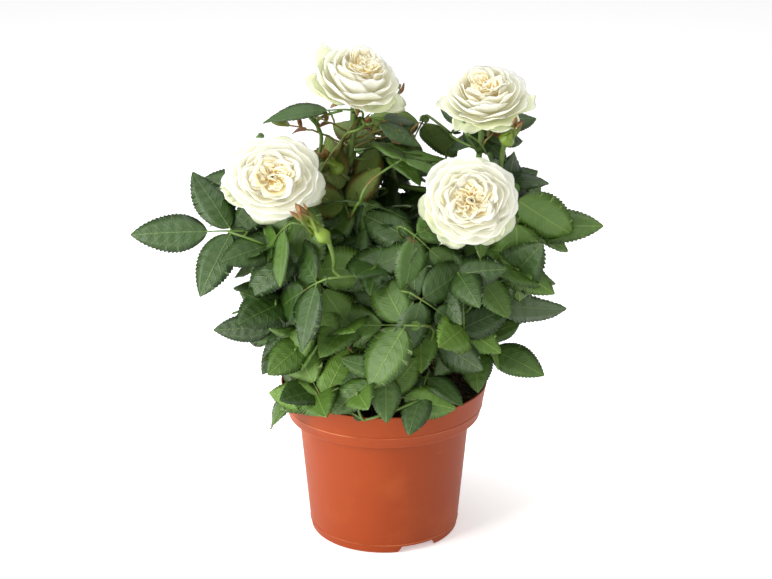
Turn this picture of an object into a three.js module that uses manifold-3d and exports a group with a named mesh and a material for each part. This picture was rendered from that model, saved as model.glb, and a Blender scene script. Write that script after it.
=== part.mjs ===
// A white rose bush standing in its nursery pot. Millimetres, +Z up, front towards -Y.
// The origin is on the pot's axis, at the level of the surface that the pot stands on.
// The pot, its peat, every limb, bloom, bud and mass of leaves is a closed solid of its own.

import * as THREE from 'three';
import { mergeVertices } from 'three/addons/utils/BufferGeometryUtils.js';
import Module from 'manifold-3d';

// ---------------------------------------------------------------- driving dimensions

const GAP = 0.3; // clearance between two pieces that touch

const POT_HEIGHT = 92.3;
const RIM_RADIUS = 60;
const BAND_FOOT_RADIUS = 56.2; // the rim band's outer radius at its lower edge
const BAND_FOOT_HEIGHT = 71.5;
const BODY_TOP_RADIUS = 49.9; // the body's outer radius where the band begins
const BODY_FOOT_RADIUS = 43.5;
const WALL = 1.3;
const EDGE_ROUNDING = 1.6; // radius of the band's lower edge and of the foot's outer edge
const FOOT_RING_HEIGHT = 4.4; // the floor is this high above the ground inside the foot ring
const FOOT_RING_WIDTH = 2.6;
const FLOOR_THICKNESS = 1.5;
const PAD_RADIUS = 8; // the round pad in the middle of the underside
const POT_SEGMENTS = 32;

const NOTCH_COUNT = 3;
const NOTCH_AZIMUTH = 27; // the middle of the first drain notch in the foot ring, degrees from the front
const NOTCH_HALF_WIDTH = 10;
const NOTCH_SLANT = 3; // how much wider a notch is at the ground than at its top

const SOIL_TOP = 86;
const SOIL_DOME = 1.5; // the peat stands higher in the middle by this much
const SOIL_UNEVENNESS = 0.7;

const LIMB_SIDES = 8;
const LIMB_STEP = 12; // length of one straight step along a limb

const UNEVENNESS = 0.13; // share by which a mass's surface wanders in and out
const SLIM_HALF_THICKNESS = 13.5; // a thinner mass is faceted more coarsely
const PAD_DETAIL = 1;
const MASS_DETAIL = 2;

const BLOOM_SEGMENTS = 18;
const BLOOM_RUFFLE = 0.06; // share by which petal tips stand out of a bloom's round outline
const BUD_SEGMENTS = 8;

// ---------------------------------------------------------------- finishes

const finish = (color, roughness) => new THREE.MeshStandardMaterial({ color, roughness, metalness: 0 });
const POT_PLASTIC = finish(0xc4593a, 0.5);
const PEAT = finish(0x2a1d15, 1);
const GREEN_BARK = finish(0x6f8f3a, 0.6);
const OLD_BARK = finish(0x6b6238, 0.75);
const LEAF = finish(0x35592c, 0.45);
const YOUNG_LEAF = finish(0x5c8238, 0.45);
const PETAL = finish(0xf2f0e2, 0.6);
const SEPAL = finish(0x86a93c, 0.55);

// ---------------------------------------------------------------- the plant's plan
// A place is [azimuth from the front in degrees, positive towards +X; distance from the axis; height].

// Canes rise from the peat and end in the first mass that they meet. radius is [foot, tip].
const CANES = [
  { name: 'cane_left', foot: [-95, 17], bend: [-88, 36, 118], tip: [-76, 66, 158], radius: [2.6, 1.7] },
  { name: 'cane_front', foot: [-30, 15], bend: [-28, 30, 112], tip: [-26, 50, 134], radius: [2.3, 1.6] },
  { name: 'cane_right', foot: [75, 16], bend: [62, 33, 112], tip: [52, 58, 134], radius: [2.6, 1.7] },
  { name: 'cane_centre', foot: [150, 4], bend: [170, 5, 102], tip: [-165, 8, 120], radius: [2.9, 2.4] },
  { name: 'cane_back_left', foot: [-140, 20], bend: [-136, 42, 112], tip: [-130, 66, 130], radius: [2.4, 1.6] },
  { name: 'cane_back', foot: [172, 22], bend: [176, 42, 108], tip: [180, 66, 128], radius: [2.4, 1.6] },
  { name: 'cane_back_right', foot: [126, 20], bend: [128, 42, 112], tip: [130, 68, 130], radius: [2.5, 1.6] },
];

// Boughs run on from one mass into the next. Both ends lie inside a mass.
const BOUGHS = [
  { name: 'bough_top_left', foot: [-96, 34, 228], bend: [-94, 36, 240], tip: [-86, 42, 250], radius: [1.1, 0.9] },
  { name: 'bough_top', foot: [150, 14, 205], bend: [160, 12, 222], tip: [150, 14, 242], radius: [1.3, 0.9] },
  { name: 'bough_top_right', foot: [108, 70, 205], bend: [112, 66, 220], tip: [112, 64, 236], radius: [1.6, 1.1] },
];

// Blooms on their stalks: heart is the middle of the bloom, and the face looks along azimuth and pitch.
// A stalk starts inside a mass at foot and ends inside its bloom.
const BLOOMS = [
  {
    name: 'top', heart: [-90, 15, 268], face: [20, 58], radius: 27.5, depth: 15,
    foot: [-105, 22, 212], bend: [-108, 19, 232], stalk: [1.9, 2.1],
  },
  {
    name: 'right', heart: [88, 56.5, 257], face: [10, 50], radius: 27, depth: 15,
    foot: [92, 52, 205], bend: [92, 53, 225], stalk: [1.7, 1.9],
  },
  {
    name: 'left', heart: [-62, 68, 220], face: [-22, 38], radius: 29, depth: 15,
    foot: [-84, 54, 188], bend: [-80, 56, 200], stalk: [1.6, 1.9],
  },
  {
    name: 'front', heart: [47, 60, 210], face: [20, 24], radius: 28.5, depth: 15,
    foot: [56, 36, 186], bend: [54, 34, 200], stalk: [1.6, 1.9],
  },
];

// Buds, each in one piece with its stalk, point from the base towards the tip.
const BUDS = [
  { name: 'bud_upper', foot: [-130, 7, 202], base: [-66, 23, 216], tip: [-72, 34, 228], radius: 3.2 },
  { name: 'bud_left', foot: [-20, 48, 178], base: [-34, 61, 184], tip: [-38, 71, 201], radius: 4.6 },
  { name: 'bud_right', foot: [88, 66, 214], base: [82, 67, 231], tip: [82, 71, 244], radius: 4.4 },
];

// Masses of leaves: size is the half length outwards, half width and half thickness, and rise tips the outer
// end up. They come in the order in which they give way: each is cut back from those before it.
const MASSES = [
  { name: 'left_tip', place: [-83, 115, 186], size: [27, 12, 9], rise: 3 },
  { name: 'left_upper', place: [-93, 92, 208], size: [14, 14, 16], rise: 0 },
  { name: 'left_shoulder', place: [-76, 78, 180], size: [24, 22, 20], rise: 0 },
  { name: 'left_low', place: [-61, 79, 150], size: [22, 22, 12], rise: -8 },
  { name: 'left_thin', place: [-83, 80, 127], size: [18, 11, 5], rise: 0 },
  { name: 'top_left', place: [-84, 45, 253], size: [22, 12, 6], rise: 4 },
  { name: 'top_centre', place: [130, 14, 246], size: [14, 11, 6], rise: 0 },
  { name: 'top_right', place: [111, 71, 241], size: [24, 31, 15], rise: 14 },
  { name: 'upper_left', place: [-96, 37, 225], size: [15, 15, 14], rise: 0, young: true },
  { name: 'upper_right', place: [110, 30, 226], size: [13, 13, 13], rise: 0 },
  { name: 'right_tip', place: [90, 103, 185], size: [25, 18, 10], rise: -3 },
  { name: 'right_upper', place: [97, 80, 211], size: [16, 18, 14], rise: 0 },
  { name: 'right_shoulder', place: [75, 85, 166], size: [18, 20, 20], rise: 0 },
  { name: 'right_low', place: [68, 79, 116], size: [18, 13, 8], rise: -12 },
  { name: 'right_front', place: [48, 67, 139], size: [20, 27, 15], rise: 0 },
  { name: 'front_right', place: [52, 62, 169], size: [20, 25, 13], rise: 0 },
  { name: 'front', place: [-26, 58, 143], size: [20, 26, 20], rise: 0 },
  { name: 'front_left', place: [-49, 73, 127], size: [14, 14, 11], rise: 0 },
  { name: 'front_low', place: [34, 42, 142], size: [13, 13, 17], rise: 0 },
  { name: 'front_upper', place: [-7, 42, 175], size: [17, 26, 13], rise: 0 },
  { name: 'skirt_left', place: [-36, 71, 107], size: [19, 25, 12], rise: -18 },
  { name: 'skirt_front', place: [-13, 70, 110], size: [13, 13, 18], rise: 0 },
  { name: 'skirt_right', place: [18, 67, 103], size: [14, 19, 15], rise: -12 },
  { name: 'crown', place: [180, 8, 196], size: [27, 34, 17], rise: 0 },
  { name: 'inner_left', place: [-66, 37, 190], size: [15, 17, 18], rise: 0 },
  { name: 'heart', place: [180, 8, 158], size: [37, 43, 22], rise: 0 },
  { name: 'heart_low', place: [-140, 12, 122], size: [25, 26, 15], rise: 0 },
  { name: 'back_left', place: [-125, 80, 128], size: [28, 30, 21], rise: -6 },
  { name: 'back', place: [180, 76, 127], size: [26, 33, 20], rise: -6 },
  { name: 'back_right', place: [125, 82, 130], size: [28, 30, 22], rise: -6 },
  { name: 'back_left_upper', place: [-120, 80, 168], size: [27, 28, 19], rise: 6 },
  { name: 'back_upper', place: [178, 72, 170], size: [26, 33, 19], rise: 6 },
  { name: 'back_right_upper', place: [122, 84, 172], size: [28, 28, 19], rise: 6 },
  { name: 'back_left_top', place: [-135, 58, 205], size: [19, 22, 13], rise: 10 },
  { name: 'back_top', place: [168, 52, 210], size: [18, 20, 13], rise: 10 },
  { name: 'back_tip', place: [172, 112, 150], size: [22, 13, 8], rise: -6 },
];

// ---------------------------------------------------------------- solids

const wasm = await Module();
wasm.setup();

/** The solid of a closed three.js geometry. */
function solidOf(geometry) {
  const bare = geometry.clone();
  bare.deleteAttribute('normal');
  bare.deleteAttribute('uv');
  const merged = mergeVertices(bare, 1e-4);
  const vertProperties = new Float32Array(merged.attributes.position.array);
  const triVerts = new Uint32Array(merged.index.array);
  return new wasm.Manifold(new wasm.Mesh({ numProp: 3, vertProperties, triVerts }));
}

/** The three.js geometry of a solid, flat shaded. */
function geometryOf(solid) {
  const { vertProperties, triVerts } = solid.getMesh();
  const geometry = new THREE.BufferGeometry();
  geometry.setAttribute('position', new THREE.BufferAttribute(new Float32Array(vertProperties), 3));
  geometry.setIndex(new THREE.BufferAttribute(new Uint32Array(triVerts), 1));
  const flat = geometry.toNonIndexed();
  flat.computeVertexNormals();
  return flat;
}

/** A point from its azimuth in degrees, its distance from the axis and its height. */
function at([azimuth, reach, height]) {
  const turn = THREE.MathUtils.degToRad(azimuth);
  return new THREE.Vector3(reach * Math.sin(turn), -reach * Math.cos(turn), height);
}

/** A unit direction from its azimuth and its pitch above the level, in degrees. */
function towards(azimuth, pitch) {
  const tip = THREE.MathUtils.degToRad(pitch);
  return at([azimuth, Math.cos(tip), Math.sin(tip)]);
}

/** A closed body turned about the +Z axis from [radius, height] points, listed from the axis and back to it. */
function turned(points, segments) {
  const profile = points.map(([radius, height]) => new THREE.Vector2(radius, height));
  return new THREE.LatheGeometry(profile, segments).rotateX(Math.PI / 2);
}

/** Points of a quarter round between two edges, by centre, radius and start and end angle in degrees. */
function roundedEdge(radius, height, rounding, from, to, steps = 3) {
  const points = [];
  for (let i = 0; i <= steps; i += 1) {
    const angle = THREE.MathUtils.degToRad(from + ((to - from) * i) / steps);
    points.push([radius + rounding * Math.cos(angle), height + rounding * Math.sin(angle)]);
  }
  return points;
}

// ---------------------------------------------------------------- pot and peat

/** The body's outer radius at a height. */
function bodyRadius(height) {
  return BODY_FOOT_RADIUS + ((BODY_TOP_RADIUS - BODY_FOOT_RADIUS) * height) / BAND_FOOT_HEIGHT;
}

/** The rim band's outer radius at a height. */
function bandRadius(height) {
  const share = (height - BAND_FOOT_HEIGHT) / (POT_HEIGHT - BAND_FOOT_HEIGHT);
  return BAND_FOOT_RADIUS + (RIM_RADIUS - BAND_FOOT_RADIUS) * share;
}

/** One drain notch: a wedge through the foot ring, wider at the ground. */
function notchSolid(azimuth) {
  const section = new THREE.Shape();
  section.moveTo(-NOTCH_HALF_WIDTH - NOTCH_SLANT, -1);
  section.lineTo(NOTCH_HALF_WIDTH + NOTCH_SLANT, -1);
  section.lineTo(NOTCH_HALF_WIDTH, FOOT_RING_HEIGHT);
  section.lineTo(-NOTCH_HALF_WIDTH, FOOT_RING_HEIGHT);
  section.closePath();
  const depth = BODY_FOOT_RADIUS / 2;
  const wedge = new THREE.ExtrudeGeometry(section, { depth, bevelEnabled: false });
  wedge.rotateX(Math.PI / 2);
  wedge.translate(0, -BODY_FOOT_RADIUS + depth / 2, 0);
  wedge.rotateZ(THREE.MathUtils.degToRad(azimuth));
  return solidOf(wedge);
}

/** The nursery pot: a stepped rim band over a tapering body, with a notched foot ring. */
function potSolid() {
  const floorTop = FOOT_RING_HEIGHT + FLOOR_THICKNESS;
  const stepHeight = BAND_FOOT_HEIGHT + WALL;
  const profile = [
    [0, 0],
    [PAD_RADIUS, 0],
    [PAD_RADIUS, FOOT_RING_HEIGHT],
    [BODY_FOOT_RADIUS - FOOT_RING_WIDTH, FOOT_RING_HEIGHT],
    [BODY_FOOT_RADIUS - FOOT_RING_WIDTH, 0],
    ...roundedEdge(BODY_FOOT_RADIUS - EDGE_ROUNDING, EDGE_ROUNDING, EDGE_ROUNDING, -90, 0),
    [BODY_TOP_RADIUS, BAND_FOOT_HEIGHT],
    ...roundedEdge(BAND_FOOT_RADIUS - EDGE_ROUNDING, BAND_FOOT_HEIGHT + EDGE_ROUNDING, EDGE_ROUNDING, -90, 0),
    [RIM_RADIUS, POT_HEIGHT],
    [RIM_RADIUS - WALL, POT_HEIGHT],
    [bandRadius(stepHeight) - WALL, stepHeight],
    [BODY_TOP_RADIUS - WALL, stepHeight],
    [bodyRadius(floorTop) - WALL, floorTop],
    [0, floorTop],
  ];
  let solid = solidOf(turned(profile, POT_SEGMENTS));
  for (let i = 0; i < NOTCH_COUNT; i += 1) {
    solid = solid.subtract(notchSolid(NOTCH_AZIMUTH + (360 * i) / NOTCH_COUNT));
  }
  return solid;
}

/** The room that the pot and its peat take up, as one filled body that stands off them by the gap. */
function potRoom() {
  return solidOf(
    turned(
      [
        [0, -GAP],
        [BODY_FOOT_RADIUS + GAP, -GAP],
        [BODY_TOP_RADIUS + GAP, BAND_FOOT_HEIGHT - GAP],
        [BAND_FOOT_RADIUS + GAP, BAND_FOOT_HEIGHT - GAP],
        [RIM_RADIUS + GAP, POT_HEIGHT + GAP],
        [0, POT_HEIGHT + GAP],
      ],
      POT_SEGMENTS,
    ),
  );
}

/** The peat: it fills the pot to just under the rim, and its top is domed and lumpy. */
function soilSolid(clearance) {
  const floorTop = FOOT_RING_HEIGHT + FLOOR_THICKNESS + GAP;
  const stepHeight = BAND_FOOT_HEIGHT + WALL + GAP;
  const inner = WALL + GAP;
  const topRadius = bandRadius(SOIL_TOP) - inner;
  const geometry = turned(
    [
      [0, floorTop],
      [bodyRadius(floorTop) - inner, floorTop],
      [BODY_TOP_RADIUS - inner, stepHeight],
      [bandRadius(stepHeight) - inner, stepHeight],
      [topRadius, SOIL_TOP + clearance],
      [topRadius * 0.7, SOIL_TOP + clearance + SOIL_DOME * 0.5],
      [topRadius * 0.35, SOIL_TOP + clearance + SOIL_DOME * 0.9],
      [0, SOIL_TOP + clearance + SOIL_DOME],
    ],
    POT_SEGMENTS,
  );
  const position = geometry.attributes.position;
  for (let i = 0; i < position.count; i += 1) {
    const x = position.getX(i);
    const y = position.getY(i);
    const lump = Math.sin(x * 0.21 + 1) * Math.cos(y * 0.17) + Math.sin((x + y) * 0.33);
    if (position.getZ(i) >= SOIL_TOP) {
      position.setZ(i, position.getZ(i) + (SOIL_UNEVENNESS * (lump - 1)) / 2);
    }
  }
  return solidOf(geometry);
}

// ---------------------------------------------------------------- limbs

/** A round limb along a smooth curve, which tapers from the first radius to the second. */
function limbSolid(points, [footRadius, tipRadius]) {
  const curve = new THREE.CatmullRomCurve3(points);
  const steps = Math.max(3, Math.round(curve.getLength() / LIMB_STEP));
  const section = new THREE.Shape();
  section.absarc(0, 0, 1, 0, 2 * Math.PI);
  const geometry = new THREE.ExtrudeGeometry(section, {
    steps,
    curveSegments: LIMB_SIDES / 2,
    extrudePath: curve,
  });
  const centres = curve.getSpacedPoints(steps);
  const position = geometry.attributes.position;
  const point = new THREE.Vector3();
  for (let i = 0; i < position.count; i += 1) {
    point.fromBufferAttribute(position, i);
    const nearest = centres.reduce((a, b) => (point.distanceTo(b) < point.distanceTo(a) ? b : a));
    const share = centres.indexOf(nearest) / steps;
    point.sub(nearest).multiplyScalar(THREE.MathUtils.lerp(footRadius, tipRadius, share)).add(nearest);
    position.setXYZ(i, point.x, point.y, point.z);
  }
  return solidOf(geometry);
}

// ---------------------------------------------------------------- leaves, blooms and buds

/** How far a mass's surface stands out in a direction: three waves, each along an axis of its own. */
function unevenRadius(direction, seed) {
  let radius = 1;
  for (let k = 1; k <= 3; k += 1) {
    const axis = new THREE.Vector3(Math.sin(seed * k), Math.cos(seed * k * 1.3), Math.sin(seed + 2 * k));
    radius += (UNEVENNESS / k) * Math.sin(3 * k * direction.dot(axis.normalize()) + seed);
  }
  return radius;
}

/** One uneven mass of leaves, fitted exactly to its half sizes and grown by clearance, then put in place. */
function massSolid({ place, size, rise }, seed, clearance = 0) {
  const slim = Math.min(...size) < SLIM_HALF_THICKNESS;
  const geometry = new THREE.IcosahedronGeometry(1, slim ? PAD_DETAIL : MASS_DETAIL);
  const position = geometry.attributes.position;
  const point = new THREE.Vector3();
  for (let i = 0; i < position.count; i += 1) {
    point.fromBufferAttribute(position, i);
    point.multiplyScalar(unevenRadius(point, seed));
    const narrowing = 1 - 0.3 * Math.max(0, point.x) ** 2;
    position.setXYZ(i, point.x, point.y * narrowing, point.z * narrowing);
  }
  geometry.computeBoundingBox();
  const half = geometry.boundingBox.getSize(new THREE.Vector3()).multiplyScalar(0.5);
  geometry.center();
  geometry.scale(...size.map((length, axis) => (length + clearance) / half.getComponent(axis)));
  geometry.rotateY(-THREE.MathUtils.degToRad(rise));
  geometry.rotateZ(THREE.MathUtils.degToRad(place[0] - 90));
  geometry.translate(...at(place).toArray());
  return solidOf(geometry);
}

/** A full bloom: a ruffled bowl of petals with a dished heart, which faces along its azimuth and pitch. */
function bloomSolid({ heart, face, radius, depth }, seed, clearance = 0) {
  const width = radius + clearance;
  const height = depth + clearance;
  const geometry = turned(
    [
      [0, -height],
      [width * 0.3, -height * 0.92],
      [width * 0.72, -height * 0.55],
      [width, -height * 0.05],
      [width * 0.88, height * 0.45],
      [width * 0.55, height],
      [width * 0.22, height * 0.85],
      [0, height * 0.55],
    ],
    BLOOM_SEGMENTS,
  );
  const position = geometry.attributes.position;
  for (let i = 0; i < position.count; i += 1) {
    const x = position.getX(i);
    const y = position.getY(i);
    const turn = Math.atan2(y, x);
    const ruffle = 1 - BLOOM_RUFFLE + BLOOM_RUFFLE * Math.sin(5 * turn + seed) * Math.cos(2 * turn + 2 * seed);
    position.setXYZ(i, x * ruffle, y * ruffle, position.getZ(i));
  }
  const facing = new THREE.Quaternion().setFromUnitVectors(new THREE.Vector3(0, 0, 1), towards(...face));
  geometry.applyQuaternion(facing);
  geometry.translate(...at(heart).toArray());
  return solidOf(geometry);
}

/** A pointed bud in one piece with its stalk. */
function budSolid({ foot, base, tip, radius }) {
  const from = at(base);
  const along = at(tip).sub(from);
  const length = along.length();
  const geometry = turned(
    [
      [0, -length * 0.08],
      [radius * 0.75, length * 0.02],
      [radius, length * 0.26],
      [radius * 0.72, length * 0.55],
      [radius * 0.28, length * 0.82],
      [0, length],
    ],
    BUD_SEGMENTS,
  );
  const facing = new THREE.Quaternion().setFromUnitVectors(new THREE.Vector3(0, 0, 1), along.clone().normalize());
  geometry.applyQuaternion(facing);
  geometry.translate(...from.toArray());
  const inside = from.clone().addScaledVector(along, 0.15);
  const bend = from.clone().addScaledVector(along, -0.5);
  const stalk = limbSolid([at(foot), bend, inside], [radius * 0.2, radius * 0.28]);
  return solidOf(geometry).add(stalk);
}

// ---------------------------------------------------------------- assembly

const roseBush = new THREE.Group();

/** Adds one named piece to the bush. */
function addPiece(name, solid, material) {
  const mesh = new THREE.Mesh(geometryOf(solid), material);
  mesh.name = name;
  roseBush.add(mesh);
}

/** A solid cut back from every solid of a list. */
function cutBack(solid, others) {
  return others.reduce((rest, other) => rest.subtract(other), solid);
}

addPiece('pot', potSolid(), POT_PLASTIC);
addPiece('soil', soilSolid(0), PEAT);

const rooms = [];
BLOOMS.forEach((bloom, i) => {
  addPiece(`bloom_${bloom.name}`, bloomSolid(bloom, i + 1), PETAL);
  rooms.push(bloomSolid(bloom, i + 1, GAP));
});

const roomOverPot = potRoom();
MASSES.forEach((mass, i) => {
  const solid = cutBack(massSolid(mass, i + 1), [...rooms, roomOverPot]);
  addPiece(`foliage_${mass.name}`, solid, mass.young ? YOUNG_LEAF : LEAF);
  rooms.push(massSolid(mass, i + 1, GAP));
});

const soilRoom = soilSolid(GAP);
for (const { name, foot: [azimuth, reach], bend, tip, radius } of CANES) {
  const buried = at([azimuth, reach, SOIL_TOP - 4]);
  const rising = at([azimuth, reach, SOIL_TOP + 6]);
  const cane = limbSolid([buried, rising, at(bend), at(tip)], radius);
  addPiece(name, cutBack(cane, [...rooms, soilRoom]), OLD_BARK);
}
for (const { name, foot, bend, tip, radius } of BOUGHS) {
  addPiece(name, cutBack(limbSolid([at(foot), at(bend), at(tip)], radius), rooms), GREEN_BARK);
}
for (const { name, heart, foot, bend, stalk } of BLOOMS) {
  const limb = limbSolid([at(foot), at(bend), at(heart)], stalk);
  addPiece(`stalk_${name}`, cutBack(limb, rooms), GREEN_BARK);
}
for (const bud of BUDS) {
  addPiece(bud.name, cutBack(budSolid(bud), rooms), SEPAL);
}

export default roseBush;
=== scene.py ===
"""A white rose bush in a terracotta-coloured nursery pot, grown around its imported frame.

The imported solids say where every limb, bloom, bud and mass of leaves is. Each of them is
replaced by what it stands for: bark along the limbs, petals round the blooms' hearts, and
twigs with compound leaves that a seeded branching rule grows through the masses.
All lengths are in metres, +Z is up, and the front looks towards -Y.
"""

import logging
import math
from dataclasses import dataclass, field
from enum import Enum
from itertools import product
from typing import ClassVar, Iterable, Sequence

import bpy
import numpy as np
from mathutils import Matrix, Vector, noise

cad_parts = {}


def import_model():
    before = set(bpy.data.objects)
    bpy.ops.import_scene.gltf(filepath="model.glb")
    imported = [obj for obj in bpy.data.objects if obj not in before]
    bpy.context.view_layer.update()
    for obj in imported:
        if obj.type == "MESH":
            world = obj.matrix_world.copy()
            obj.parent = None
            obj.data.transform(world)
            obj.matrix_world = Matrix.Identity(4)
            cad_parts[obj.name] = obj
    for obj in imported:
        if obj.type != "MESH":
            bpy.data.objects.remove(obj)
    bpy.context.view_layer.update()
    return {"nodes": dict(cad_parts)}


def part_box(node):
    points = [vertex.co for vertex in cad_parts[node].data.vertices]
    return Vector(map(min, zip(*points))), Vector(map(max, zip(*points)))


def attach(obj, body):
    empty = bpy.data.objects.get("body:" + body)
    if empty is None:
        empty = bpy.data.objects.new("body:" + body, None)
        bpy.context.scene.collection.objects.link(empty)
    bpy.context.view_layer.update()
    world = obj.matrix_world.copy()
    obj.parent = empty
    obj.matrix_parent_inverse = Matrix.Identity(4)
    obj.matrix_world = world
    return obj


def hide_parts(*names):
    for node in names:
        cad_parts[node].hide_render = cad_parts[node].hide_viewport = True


log = logging.getLogger("rose_bush")

MM = 0.001
UP = np.array([0.0, 0.0, 1.0])
BODY = "root"
BAKE_MAP = "OFBake"
SEED = 36

Colour = tuple[float, float, float]
Stops = Sequence[tuple[float, Colour]]
Array = np.ndarray
Rng = np.random.Generator
Material = bpy.types.Material


def srgb(red: int, green: int, blue: int) -> Colour:
    """Turn display values from 0 to 255 into the linear values that shaders take."""
    shares = [value / 255 for value in (red, green, blue)]
    return tuple(s / 12.92 if s <= 0.04045 else ((s + 0.055) / 1.055) ** 2.4 for s in shares)


def unit(vector: Array) -> Array:
    """Scale a vector to length one."""
    return vector / max(float(np.linalg.norm(vector)), 1e-12)


def unit_rows(vectors: Array) -> Array:
    """Scale each vector of an array to length one."""
    return vectors / np.maximum(np.linalg.norm(vectors, axis=-1, keepdims=True), 1e-12)


def towards(azimuth: float, pitch: float) -> Array:
    """A unit direction.

    Args:
        azimuth: Degrees from the front, positive towards +X.
        pitch: Degrees above the level.

    Returns:
        The direction as an array of three.
    """
    turn, tip = math.radians(azimuth), math.radians(pitch)
    level = math.cos(tip)
    return np.array([level * math.sin(turn), -level * math.cos(turn), math.sin(tip)])


def across(vector: Array, axis: Array) -> Array:
    """The unit part of a vector that lies square to an axis.

    Args:
        vector: The vector. Where it lies along the axis, any square direction is taken.
        axis: The unit axis.

    Returns:
        The unit vector.
    """
    rest = vector - axis * float(vector @ axis)
    if np.linalg.norm(rest) < 1e-6:
        rest = np.cross(axis, [0.31, 0.95, 0.11])
    return unit(rest)


def bezier(points: Sequence[Array], count: int) -> Array:
    """Points along a quadratic Bezier curve.

    Args:
        points: Its start, its control point and its end.
        count: How many points to return, both ends included.

    Returns:
        An array of count rows.
    """
    t = np.linspace(0, 1, count)[:, None]
    start, control, end = points
    return start * (1 - t) ** 2 + control * 2 * t * (1 - t) + end * t**2


# ---- shader maths


class Signal:
    """A shader socket with the arithmetic that the finishes use. Each operator adds a Math node."""

    def __init__(self, graph: "Graph", socket: bpy.types.NodeSocket) -> None:
        """Wrap one output socket of a graph."""
        self.graph = graph
        self.socket = socket

    def _math(self, operation: str, *values: "Operand") -> "Signal":
        """Add one Math node.

        Args:
            operation: The node's operation.
            values: What its sockets take, in order.

        Returns:
            Its result.
        """
        node = self.graph.add("ShaderNodeMath", {"operation": operation}, dict(enumerate(values)))
        return Signal(self.graph, node.outputs[0])

    def __add__(self, other: "Operand") -> "Signal":
        """Sum of two signals."""
        return self._math("ADD", self, other)

    __radd__ = __add__

    def __sub__(self, other: "Operand") -> "Signal":
        """Difference of two signals."""
        return self._math("SUBTRACT", self, other)

    def __rsub__(self, other: float) -> "Signal":
        """A number less this signal."""
        return self._math("SUBTRACT", other, self)

    def __mul__(self, other: "Operand") -> "Signal":
        """Product of two signals."""
        return self._math("MULTIPLY", self, other)

    __rmul__ = __mul__

    def __truediv__(self, other: "Operand") -> "Signal":
        """Quotient of two signals."""
        return self._math("DIVIDE", self, other)

    def floor(self) -> "Signal":
        """The whole number at or below."""
        return self._math("FLOOR", self)

    def fraction(self) -> "Signal":
        """What is left above the whole number."""
        return self._math("FRACT", self)

    def size(self) -> "Signal":
        """The value without its sign."""
        return self._math("ABSOLUTE", self)

    def sine(self) -> "Signal":
        """Its sine, in radians."""
        return self._math("SINE", self)

    def between(self, low: float, high: float) -> "Signal":
        """A smooth step.

        Args:
            low: Where it is 0.
            high: Where it is 1. The step falls where this is the smaller.

        Returns:
            The step.
        """
        turned = low > high
        inputs = {"Value": self, "From Min": min(low, high), "From Max": max(low, high)}
        inputs |= {"To Min": float(turned), "To Max": float(not turned)}
        node = self.graph.add("ShaderNodeMapRange", {"interpolation_type": "SMOOTHSTEP"}, inputs)
        return Signal(self.graph, node.outputs["Result"])


Operand = Signal | float


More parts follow.
